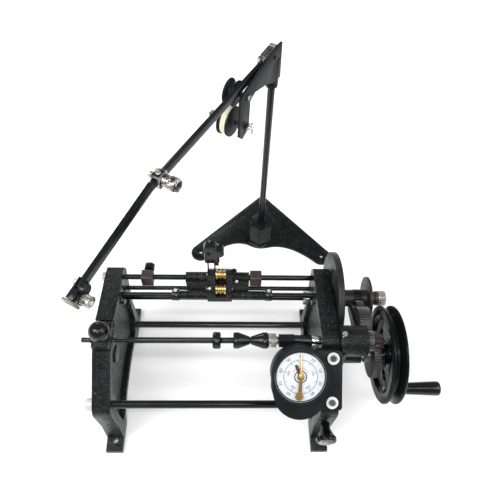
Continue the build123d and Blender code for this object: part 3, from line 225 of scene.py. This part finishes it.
def makeFelt():
    material, tree, shader = startMaterial("creamFelt", felt["light"], 0.95, 0.0)
    hairs = noiseOf(tree, mappedCoords(tree), felt["hairs"], 6, 0.7)
    color = rampOf(tree, hairs, [(0.3, felt["dark"]), (0.7, felt["light"])])
    tree.links.new(color, shader.inputs["Base Color"])
    bumpOf(tree, shader, [(hairs, 0.6, 0.0005)])
    shader.inputs["Sheen Weight"].default_value = 0.4
    return material


dialPaper = {"dark": (0.50, 0.53, 0.57), "light": (0.60, 0.63, 0.67), "grain": 300}


def makeDialPaper():
    material, tree, shader = startMaterial("dialWhite", dialPaper["light"], 0.5, 0.0)
    fine = noiseOf(tree, mappedCoords(tree), dialPaper["grain"], 3)
    color = rampOf(tree, fine, [(0.3, dialPaper["dark"]), (0.7, dialPaper["light"])])
    tree.links.new(color, shader.inputs["Base Color"])
    bumpOf(tree, shader, [(fine, 0.05, 0.0001)])
    return material


def makeInk(name, color):
    material, tree, shader = startMaterial(name, color, 0.6, 0.0)
    fine = noiseOf(tree, mappedCoords(tree), 900, 2)
    tree.links.new(spreadOf(tree, fine, 0.5, 0.7), shader.inputs["Roughness"])
    return material


# slot: name, dark and light colour, least and most roughness, stretch of the
# drawn lines, how metallic, depth of the scratches, strength of the shine
metals = {
    "blued": ("bluedSteel", (0.0040, 0.0043, 0.0047), (0.011, 0.012, 0.013),
        0.12, 0.24, (0.05, 1, 1), 0.3, 0.12, 0.42),
    "bluedBar": ("bluedBar", (0.0026, 0.0029, 0.0033), (0.007, 0.008, 0.009),
        0.16, 0.30, (1, 1, 0.05), 0.1, 0.12, 0.22),
    "grey": ("greySteel", (0.048, 0.048, 0.047), (0.120, 0.120, 0.118),
        0.28, 0.44, (1, 0.3, 0.3), 0.6, 0.2, 0.4),
    "disc": ("darkDisc", (0.010, 0.0105, 0.011), (0.027, 0.027, 0.028),
        0.34, 0.5, (1, 0.3, 0.3), 0.3, 0.3, 0.3),
    "pad": ("wornPad", (0.12, 0.104, 0.082), (0.27, 0.235, 0.185),
        0.36, 0.55, (1, 1, 1), 0.7, 0.3),
    "steel": ("brightSteel", (0.42, 0.42, 0.43), (0.62, 0.62, 0.62),
        0.2, 0.38, (0.1, 1, 1)),
    "nickel": ("nickelPlate", (0.44, 0.44, 0.43), (0.66, 0.66, 0.65),
        0.26, 0.42, (1, 1, 1), 0.55),
    "knurl": ("knurledSteel", (0.20, 0.195, 0.18), (0.38, 0.37, 0.34),
        0.24, 0.4, (1, 1, 1), 0.8, 0.3),
    "washer": ("whiteWasher", (0.50, 0.50, 0.49), (0.70, 0.70, 0.69),
        0.3, 0.45, (1, 1, 1), 0.2),
    "handBrass": ("handBrass", (0.30, 0.19, 0.06), (0.50, 0.34, 0.13),
        0.22, 0.34, (1, 1, 1), 0.9, 0.05),
    "chrome": ("chromePlate", (0.62, 0.62, 0.62), (0.80, 0.80, 0.80),
        0.07, 0.16),
    "brass": ("turnedBrass", (0.36, 0.22, 0.07), (0.64, 0.45, 0.19),
        0.2, 0.36, (0.1, 1, 1)),
}
finish = {
    "cast": makeCastPaint("castPaint", 1.0),
    "plate": makeCastPaint("platePaint", 0.35),
    "wheel": makeSmoothPaint(),
    "gloss": makeGlossPlastic(),
    "case": makeCasePlastic(),
    "wearAndGlints": makeWornNickel(),
    "fibre": makeFibre(),
    "felt": makeFelt(),
    "dial": makeDialPaper(),
    "inkBlack": makeInk("inkBlack", (0.02, 0.02, 0.02)),
    "inkRed": makeInk("inkRed", (0.45, 0.03, 0.03)),
}
for slotName, look in metals.items():
    finish[slotName] = makeMetal(*look)
print("materials made:", len(finish))

# CAD nodes: finish, and the rounding of their edges in metres
nodeLooks = {
    "side_frame_left": ("cast", 0.0011),
    "side_frame_right": ("cast", 0.0011),
    "gear_housing": ("cast", 0.0007),
    "bearing_cap": ("cast", 0.0007),
    "stand_base": ("plate", 0.0006),
    "stand_boss": ("plate", 0.0006),
    "carriage_block": ("cast", 0.0004),
    "counter_case": ("case", 0.0006),
    "counter_dial": ("dial", 0),
    "counter_screws": ("washer", 0.0003),
    "front_tie_rod": ("blued", 0.0003),
    "rear_tie_rod": ("blued", 0.0003),
    "guide_rod_upper": ("blued", 0.0002),
    "guide_rod_lower": ("blued", 0),
    "steady_rod": ("blued", 0),
    "spindle_shaft": ("blued", 0.0002),
    "lock_collar": ("blued", 0.0003),
    "cone_left": ("blued", 0.0002),
    "cone_right": ("blued", 0.0002),
    "cone_nut": ("knurl", 0.0001),
    "chuck_body": ("blued", 0.0004),
    "spindle_gear": ("grey", 0.0001),
    "pinion": ("fibre", 0.0001),
    "bull_gear": ("grey", 0.0001),
    "idler_gear": ("grey", 0.0001),
    "idler_pinion": ("grey", 0.0001),
    "wheel_shaft": ("steel", 0.0003),
    "hand_wheel": ("wheel", 0.0005),
    "crank_bolt": ("steel", 0.0002),
    "crank_handle": ("gloss", 0.0003),
    "drive_shaft": ("blued", 0.0002),
    "friction_disc": ("disc", 0.0003),
    "drive_gear": ("disc", 0.0001),
    "fibre_washer": ("fibre", 0.0002),
    "drive_nut": ("knurl", 0.0002),
    "star_wheel": ("steel", 0.0003),
    "set_collars": ("blued", 0.0003),
    "guide_head": ("blued", 0.0005),
    "guide_wires": ("bluedBar", 0),
    "guide_roller_upper": ("brass", 0.0002),
    "guide_roller_lower": ("brass", 0.0002),
    "travel_stop_left": ("fibre", 0.0006),
    "travel_stop_right": ("fibre", 0.0006),
    "hand_short": ("inkBlack", 0),
    "hand_long": ("handBrass", 0.0001),
    "ball_lever": ("gloss", 0.0002),
    "front_knob": ("gloss", 0.0004),
    "stand_post": ("bluedBar", 0.0003),
    "stand_bracket": ("case", 0.0004),
    "pulley_axle": ("chrome", 0.0002),
    "pulley_upper": ("case", 0.0003),
    "pulley_lower": ("case", 0.0003),
    "felt_ring": ("felt", 0.0006),
    "tension_arm": ("bluedBar", 0.0003),
    "arm_spring_left": ("grey", 0),
    "arm_spring_right": ("grey", 0),
    "tip_pad": ("pad", 0.0003),
    "tip_knob": ("wearAndGlints", 0.0002),
}


# the arm reaches from the post towards the winder's left end
armFrame = {
    "foot": Vector((0.0544, 0.2107, 0)),
    "ahead": Vector((-0.487860, -0.872922, 0)),
    "right": Vector((0.872922, -0.487860, 0)),
    "pivot": (0.010, 0.3054),  # ahead of the post, and height
    "bend": (0.214, 0.3027),
    "upperDrop": math.atan2(2.7, 204),
    "lowerDrop": math.atan2(20.9, 89.5),
}


def alongArm(point):
    return (point - armFrame["foot"]).dot(armFrame["ahead"])


def acrossArm(point):
    return (point - armFrame["foot"]).dot(armFrame["right"])


def dialMatrix():
    low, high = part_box("counter_dial")
    middle = (Vector(low) + Vector(high)) / 2
    return Matrix.Translation(middle) @ Matrix.Rotation(math.radians(38.0), 4, "X")


caseScrews = {"places": ((0.0319, 0.0162), (0.0312, -0.0261)), "socket": 0.0037}


def inScrewHead(point, corners):
    back = dialMatrix().inverted()
    flat = [back @ corner for corner in corners]
    reaches = [max(math.hypot(c.x - x, c.y - y) for c in flat) for x, y in caseScrews["places"]]
    return min(reaches) < caseScrews["socket"]


def inPlug(point, corners):
    return math.hypot(point.x - 0.126, point.y + 0.019) < 0.0029 and point.z > 0.14


def inClamps(point, corners):
    return 0.0002 < alongArm(point) < 0.0064 or 0.0248 < alongArm(point) < 0.0314


# faces of a node that have another finish, picked by where they lie
nodeAccents = {
    "front_tie_rod": ("nickel", lambda p, corners: p.x < -0.1215),
    "guide_rod_upper": ("nickel", lambda p, corners: p.x < -0.1225),
    "spindle_shaft": ("chrome", lambda p, corners: 0.0945 < p.x < 0.1045),
    "gear_housing": ("chrome", inPlug),
    "tension_arm": ("wearAndGlints", inClamps),
    "travel_stop_left": ("gloss", lambda p, corners: p.y > 0.0702),
    "counter_screws": ("grey", inScrewHead),
    "set_collars": ("nickel", lambda p, corners: p.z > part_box("set_collars")[1][2] - 0.0008),
    "stand_bracket": ("nickel", lambda p, corners: acrossArm(p) < -0.0150),
}


def dressNode(nodeName, finishName, rounding):
    node = frame["nodes"][nodeName]
    if not rounding:
        node.data.materials.clear()
        node.data.materials.append(finish[finishName])
        return node
    # a merged copy stands for the node, so that its edges can be rounded
    form = bmesh.new()
    form.from_mesh(node.data)
    bmesh.ops.remove_doubles(form, verts=form.verts, dist=0.00001)
    flat = [e for e in form.edges if len(e.link_faces) == 2 and e.calc_face_angle(0) < 0.01]
    bmesh.ops.dissolve_edges(form, edges=flat, use_verts=False)
    for face in form.faces:
        face.smooth = True
    mesh = bpy.data.meshes.new(nodeName + "Form")
    form.to_mesh(mesh)
    form.free()
    mesh.materials.append(finish[finishName])
    if nodeName in nodeAccents:
        accentName, isAccent = nodeAccents[nodeName]
        mesh.materials.append(finish[accentName])
        for polygon in mesh.polygons:
            corners = [mesh.vertices[k].co for k in polygon.vertices]
            polygon.material_index = 1 if isAccent(polygon.center, corners) else 0
    piece = bpy.data.objects.new(nodeName + "Form", mesh)
    bpy.context.scene.collection.objects.link(piece)
    rounder = piece.modifiers.new("rounding", "BEVEL")
    rounder.width = rounding
    rounder.segments = 2
    rounder.limit_method = "ANGLE"
    rounder.angle_limit = math.radians(34)
    rounder.use_clamp_overlap = True
    rounder.harden_normals = True
    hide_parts(nodeName)
    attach(piece, bodyOf[nodeName])
    return piece


bodyOf = {}
for bodyName, members in frame["record"]["behaviour"]["bodies"].items():
    for member in members:
        bodyOf[member] = bodyName
for nodeName, (finishName, rounding) in nodeLooks.items():
    dressNode(nodeName, finishName, rounding)
print("nodes dressed:", len(nodeLooks))


# the print on the dial
dialPrint = {
    "ringRadius": 0.0162,
    "lift": 0.00002,
    "thick": 0.00006,
}


def finishPiece(name, form, material, body):
    mesh = bpy.data.meshes.new(name)
    form.to_mesh(mesh)
    form.free()
    mesh.materials.append(material)
    piece = bpy.data.objects.new(name, mesh)
    bpy.context.scene.collection.objects.link(piece)
    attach(piece, body)
    return piece


def addBar(form, place, size):
    made = bmesh.ops.create_cube(form, size=1.0)
    bmesh.ops.scale(form, vec=size, verts=made["verts"])
    bmesh.ops.transform(form, matrix=place, verts=made["verts"])


def addRing(form, radius, width, place, steps=96):
    made = bmesh.ops.create_circle(form, cap_ends=False, segments=steps, radius=radius - width / 2)
    edges = [e for e in form.edges if all(v in made["verts"] for v in e.verts)]
    grown = bmesh.ops.extrude_edge_only(form, edges=edges)
    outer = [v for v in grown["geom"] if isinstance(v, bmesh.types.BMVert)]
    grow = (radius + width / 2) / (radius - width / 2)
    bmesh.ops.scale(form, vec=(grow, grow, 1), verts=outer)
    bmesh.ops.transform(form, matrix=place, verts=made["verts"] + outer)


def makeDialPrint():
    base = dialMatrix()
    low = 0.0005 + dialPrint["lift"] + dialPrint["thick"] / 2
    ticks = bmesh.new()
    for k in range(50):
        angle = math.radians(90 - 7.2 * k)
        long = 0.0026 if k % 5 == 0 else 0.0014
        reach = dialPrint["ringRadius"] - long / 2
        place = base @ Matrix.Rotation(angle, 4, "Z") @ Matrix.Translation((reach, 0, low))
        addBar(ticks, place, (long, 0.00032 if k % 5 else 0.0005, dialPrint["thick"]))
    addRing(ticks, dialPrint["ringRadius"], 0.00035, base @ Matrix.Translation((0, 0, low)))
    addRing(ticks, 0.0235, 0.0014, base @ Matrix.Translation((0, 0, low)))
    addRing(ticks, 0.0056, 0.0010, base @ Matrix.Translation((0, 0, low)))
    finishPiece("dialTicks", ticks, finish["inkBlack"], "frame")
    inner = bmesh.new()
    for k in range(-5, 6):
        angle = math.radians(90 - 11 * k)
        place = base @ Matrix.Rotation(angle, 4, "Z") @ Matrix.Translation((0.0084, 0, low))
        addBar(inner, place, (0.0018, 0.0005, dialPrint["thick"]))
    finishPiece("dialInnerTicks", inner, finish["inkRed"], "frame")


def makeDialNumbers():
    base = dialMatrix()
    low = 0.0005 + dialPrint["lift"]
    outer = [(0.0193, 0.0044, 36 * k, str(k * 10)) for k in range(10)]
    inner = [(0.0118, 0.0034, 72 * k, str(k * 100)) for k in range(1, 5)]
    for radius, size, turn, words in outer + inner:
        angle = math.radians(90 - turn)
        curve = bpy.data.curves.new("dialNumber", "FONT")
        curve.body = words
        curve.size = size
        curve.align_x = "CENTER"
        curve.align_y = "CENTER"
        curve.resolution_u = 3
        letter = bpy.data.objects.new("dialNumber", curve)
        bpy.context.scene.collection.objects.link(letter)
        bpy.context.view_layer.update()
        flat = bpy.data.meshes.new_from_object(letter)
        bpy.data.objects.remove(letter)
        place = base @ Matrix.Translation((radius * math.cos(angle), radius * math.sin(angle), low))
        place = place @ Matrix.Rotation(angle - math.pi / 2, 4, "Z")
        flat.transform(place)
        flat.materials.clear()
        flat.materials.append(finish["inkBlack"])
        piece = bpy.data.objects.new("dialNumber%s_%d" % (words, int(radius * 1e4)), flat)
        bpy.context.scene.collection.objects.link(piece)
        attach(piece, "frame")


makeDialPrint()
makeDialNumbers()
print("dial printed")

# small turned and milled pieces
def addBlock(form, place, low, high, edge=0.0003):
    made = bmesh.ops.create_cube(form, size=1.0)
    size = [h - l for l, h in zip(low, high)]
    middle = [(h + l) / 2 for l, h in zip(low, high)]
    bmesh.ops.scale(form, vec=size, verts=made["verts"])
    bmesh.ops.translate(form, vec=middle, verts=made["verts"])
    edges = list({e for v in made["verts"] for e in v.link_edges})
    corners = bmesh.ops.bevel(form, geom=edges, offset=edge, offset_type="OFFSET", segments=2, profile=0.5,
                              affect="EDGES", clamp_overlap=True, material=-1)
    verts = list({v for f in corners["faces"] for v in f.verts})
    bmesh.ops.transform(form, matrix=place, verts=verts)


def addTurned(form, place, profile, steps=48, notches=None):
    # profile: pairs of radius and place along local Z, closed on the axis at both ends
    verts = [form.verts.new((radius, 0, along)) for radius, along in profile]
    edges = [form.edges.new(pair) for pair in zip(verts, verts[1:])]
    grown = bmesh.ops.spin(form, geom=verts + edges, cent=(0, 0, 0), axis=(0, 0, 1), angle=math.tau,
                           steps=steps, use_merge=True, use_duplicate=False)
    found = {v for v in grown["geom_last"] if isinstance(v, bmesh.types.BMVert)} | set(verts)
    rim = list(found)
    while rim:  # spreads over the whole turned shape
        rim = [o for v in rim for e in v.link_edges for o in e.verts if o not in found]
        found.update(rim)
    if notches:
        low, high, deep = notches
        for v in found:
            turn = math.atan2(v.co.y, v.co.x) / math.tau * steps
            if low < v.co.z < high and int(turn + steps + 0.5) % 2:
                reach = math.hypot(v.co.x, v.co.y)
                v.co.x, v.co.y = v.co.x * (1 - deep / reach), v.co.y * (1 - deep / reach)
    bmesh.ops.remove_doubles(form, verts=list(found), dist=0.000005)
    left = [v for v in found if v.is_valid]
    bmesh.ops.transform(form, matrix=place, verts=left)


def finishTurned(name, form, finishName, body, nodes=()):
    bmesh.ops.recalc_face_normals(form, faces=form.faces)
    for face in form.faces:
        face.smooth = True
    piece = finishPiece(name, form, finish[finishName], body)
    piece.data.set_sharp_from_angle(angle=math.radians(34))
    if nodes:
        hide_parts(*nodes)
    return piece


def armMatrix(forward, height, drop):
    # local X to the right of the arm, Y up, Z along it towards its tip
    ahead, right = armFrame["ahead"], armFrame["right"]
    up = ahead * math.sin(drop) + Vector((0, 0, math.cos(drop)))
    along = ahead * math.cos(drop) - Vector((0, 0, math.sin(drop)))
    origin = armFrame["foot"] + Vector((0, 0, height)) + ahead * forward
    return Matrix.Translation(origin) @ Matrix((right, up, along)).transposed().to_4x4()


def sideways(place, along, up):
    # turns local Z to point to the right of the arm
    return place @ Matrix.Translation((0, up, along)) @ Matrix.Rotation(math.radians(90), 4, "Y")


tipBracket = {
    "wide": 0.0032,
    "low": -0.0049,
    "high": 0.0044,
    "start": -0.0050,
    "end": 0.0124,
    "length": 0.09191,  # of the lower arm
}


def makeTipBracket():
    place = armMatrix(*armFrame["bend"], armFrame["lowerDrop"])
    place = place @ Matrix.Translation((0, 0, tipBracket["length"]))
    wide, low, high = tipBracket["wide"], tipBracket["low"], tipBracket["high"]
    start, end = tipBracket["start"], tipBracket["end"]
    body = bmesh.new()
    addBlock(body, place, (-wide, low, 0.0035), (wide, high, end), 0.0005)
    addBlock(body, place, (-wide, low, start), (-0.0021, high, 0.0038))
    addBlock(body, place, (0.0021, low, start), (wide, high, 0.0038))
    addBlock(body, place, (wide - 0.0003, low, 0.0052), (0.0066, 0.0022, end), 0.0005)
    profile = [(0, 0.0030), (0.0046, 0.0030), (0.0050, 0.0034), (0.0050, 0.0060), (0.0046, 0.0064),
               (0, 0.0064)]
    addTurned(body, sideways(place, 0.0012, 0.0004), profile)
    finishTurned("tipBracket", body, "blued", "arm", ["arm_tip"])
    screws = bmesh.new()
    profile = [(0, 0.0060), (0.0018, 0.0060), (0.0018, 0.0145), (0.0015, 0.0149), (0, 0.0149)]
    addTurned(screws, sideways(place, 0.0070, -0.0010), profile, 32)
    profile = [(0, -0.0030), (0.0035, -0.0030), (0.0035, -0.0052), (0.0030, -0.0060), (0.0016, -0.0064),
               (0, -0.0065)]
    addTurned(screws, sideways(place, -0.0012, 0.0008), profile)
    finishTurned("tipScrews", screws, "nickel", "arm")
    socket = bmesh.new()
    upright = place @ Matrix.Translation((0.0047, 0, 0.0092)) @ Matrix.Rotation(math.radians(-90), 4, "X")
    profile = [(0, 0.0020), (0.0021, 0.0020), (0.0021, 0.0038), (0.0018, 0.0042), (0.0012, 0.0042),
               (0.0011, 0.0030), (0, 0.0030)]
    addTurned(socket, upright, profile, 32)
    finishTurned("tipSocketScrew", socket, "blued", "arm")


clipForm = {"middle": 0.192, "half": 0.0057, "left": -0.0047, "right": 0.0048, "top": 0.0055}


def makeClip():
    place = armMatrix(*armFrame["pivot"], armFrame["upperDrop"])
    place = place @ Matrix.Translation((0, 0, clipForm["middle"]))
    half, left, right, top = clipForm["half"], clipForm["left"], clipForm["right"], clipForm["top"]
    body = bmesh.new()
    addBlock(body, place, (left, 0.0037, -half), (right, top, half), 0.0005)
    addBlock(body, place, (left, -0.0062, -half), (right, -0.0037, half), 0.0005)
    addBlock(body, place, (left, -0.0040, -half), (-0.0022, 0.0040, half))
    addBlock(body, place, (0.0022, -0.0040, -half), (right, 0.0040, half))
    profile = [(0, 0.0040), (0.0042, 0.0040), (0.0050, 0.0052), (0.0053, 0.0056), (0.0053, 0.0090), (0.0044, 0.0096),
               (0.0044, 0.0106), (0.0060, 0.0110), (0.0060, 0.0112), (0.0060, 0.0164), (0.0058, 0.0167),
               (0.0048, 0.0172), (0.0052, 0.0180), (0.0052, 0.0188), (0.0046, 0.0190), (0.0034, 0.0184),
               (0.0032, 0.0150), (0, 0.0150)]
    addTurned(body, sideways(place, 0, 0), profile, 48, (0.0111, 0.0165, 0.00035))
    profile = [(0, -0.0044), (0.0030, -0.0044), (0.0030, -0.0080), (0.0026, -0.0084), (0, -0.0084)]
    addTurned(body, sideways(place, 0, 0), profile, 32)
    finishTurned("clipBody", body, "wearAndGlints", "clip", ["arm_clip"])
    dark = bmesh.new()
    low, high = (left + 0.0012, top - 0.0003, -half + 0.0014), (right - 0.0012, top + 0.0001, half - 0.0014)
    addBlock(dark, place, low, high, 0.0001)
    finishTurned("clipRecess", dark, "blued", "clip")
    head = bmesh.new()
    upright = place @ Matrix.Rotation(math.radians(-90), 4, "X")
    profile = [(0, top - 0.0002), (0.0025, top - 0.0002), (0.0025, top + 0.0006), (0.0019, top + 0.0012),
               (0, top + 0.0014)]
    addTurned(head, upright, profile, 32)
    finishTurned("clipScrew", head, "knurl", "clip")


headScrews = {
    "upperAxle": (0.0645, 0.2928),  # ahead of the post, and height
    "lowerAxle": (0.0665, 0.2600),
    "radius": 0.0034,
    "high": 0.0084,
    "nutRadius": 0.0036,
}


def makeHeadScrews():
    reach, high = headScrews["radius"], headScrews["high"]
    form = bmesh.new()
    profile = [(0, 0.0057), (reach, 0.0057), (reach, high - 0.0010), (reach * 0.8, high - 0.0003),
               (0.0013, high), (0.0012, high - 0.0014), (0, high - 0.0014)]
    addTurned(form, sideways(armMatrix(*headScrews["upperAxle"], 0), 0, 0), profile)
    wide = headScrews["nutRadius"]
    profile = [(0, -0.0350), (wide - 0.0005, -0.0350), (wide, -0.0345), (wide, -0.0307),
               (wide - 0.0005, -0.0302), (0, -0.0302)]
    addTurned(form, sideways(armMatrix(*headScrews["lowerAxle"], 0), 0, 0), profile, 48, (-0.0346, -0.0306, 0.0003))
    finishTurned("headScrews", form, "wearAndGlints", "head")


capScrews = {
    "capPlace": (0.0165, 0.0565),
    "dotPlaces": ((0.0195, 0.0500, 0.1322), (-0.0093, 0.0415, 0.1312)),
    "radius": 0.0030,
    "high": 0.0048,
    "silver": 0.0016,
}


def makeCarriageScrews():
    form = bmesh.new()
    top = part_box("carriage_block")[1][2]
    reach, high = capScrews["radius"], capScrews["high"]
    profile = [(0, -0.0003), (reach, -0.0003), (reach, high - 0.0004), (reach - 0.0004, high), (0.0014, high),
               (0.0013, high - 0.0020), (0, high - 0.0020)]
    addTurned(form, Matrix.Translation((*capScrews["capPlace"], top - 0.0008)), profile)
    finishTurned("carriageCapScrew", form, "blued", "carriage")
    dots = bmesh.new()
    small = capScrews["silver"]
    profile = [(0, -0.0006), (small, -0.0006), (small, 0.0004), (small * 0.6, 0.0009), (0, 0.0010)]
    for spot in capScrews["dotPlaces"]:
        lean = Matrix.Rotation(math.radians(40), 4, "X")
        addTurned(dots, Matrix.Translation(spot) @ lean, profile, 24)
    finishTurned("carriageDots", dots, "nickel", "carriage")


makeTipBracket()
makeClip()
makeHeadScrews()
makeCarriageScrews()
print("small pieces made")

# floor, light and camera
studio = {"floorSize": 6.0, "floorColor": (0.86, 0.86, 0.86), "worldStrength": 0.45, "glow": 0.14}
floorForm = bmesh.new()
bmesh.ops.create_grid(floorForm, x_segments=1, y_segments=1, size=studio["floorSize"] / 2)
bmesh.ops.translate(floorForm, vec=(0, 0, -0.0004), verts=floorForm.verts)
floorMesh = bpy.data.meshes.new("floor")
floorForm.to_mesh(floorMesh)
floorForm.free()
floorMaterial, floorTree, floorShader = startMaterial("paleFloor", studio["floorColor"], 0.75, 0.0)
floorShader.inputs["Emission Color"].default_value = (1, 1, 1, 1)
floorShader.inputs["Emission Strength"].default_value = studio["glow"]
floorMesh.materials.append(floorMaterial)
floor = bpy.data.objects.new("floor", floorMesh)
bpy.context.scene.collection.objects.link(floor)

world = bpy.data.worlds.new("studio")
world.use_nodes = True
world.node_tree.nodes["Background"].inputs["Color"].default_value = (1, 1, 1, 1)
world.node_tree.nodes["Background"].inputs["Strength"].default_value = studio["worldStrength"]
bpy.context.scene.world = world

# name, place, aim, width and height of the panel, watts
lamps = [
    ("keyLight", (-1.0, -0.5, 1.5), (0, 0.05, 0.1), (0.9, 0.9), 18),
    ("fillLight", (1.3, -0.3, 1.2), (0, 0.05, 0.1), (1.3, 1.3), 13),
    ("topLight", (-0.1, -1.1, 1.5), (0, 0.05, 0.1), (0.3, 0.3), 8),
    ("stripLight", (0.05, -0.55, 1.6), (0.05, 0.05, 0.1), (2.6, 0.09), 12),
    ("backLight", (-0.5, 1.5, 0.9), (0, 0.05, 0.1), (0.5, 0.5), 6),
]
for lampName, spot, aim, size, power in lamps:
    light = bpy.data.lights.new(lampName, "AREA")
    light.shape = "RECTANGLE"
    light.size, light.size_y = size
    light.energy = power
    lamp = bpy.data.objects.new(lampName, light)
    lamp.location = spot
    lamp.rotation_euler = (Vector(aim) - Vector(spot)).to_track_quat("-Z", "Y").to_euler()
    bpy.context.scene.collection.objects.link(lamp)

eye = {
    "place": (0.0141029, -0.2597225, 0.5984880),
    "right": (0.99935813, -0.01369077, 0.03310414),
    "up": (-0.00902534, 0.79805978, 0.60251069),
    "ahead": (0.03466792, 0.60242273, -0.79742397),
    "lens": 37.443,
}
cameraData = bpy.data.cameras.new("photoCamera")
cameraData.lens = eye["lens"]
cameraData.sensor_width = 36.0
cameraData.clip_start = 0.01
camera = bpy.data.objects.new("photoCamera", cameraData)
turned = Matrix((eye["right"], eye["up"], [-c for c in eye["ahead"]])).transposed().to_4x4()
camera.matrix_world = Matrix.Translation(eye["place"]) @ turned
bpy.context.scene.collection.objects.link(camera)
bpy.context.scene.camera = camera
bpy.context.scene.view_settings.view_transform = "Standard"
print("camera and lights placed")
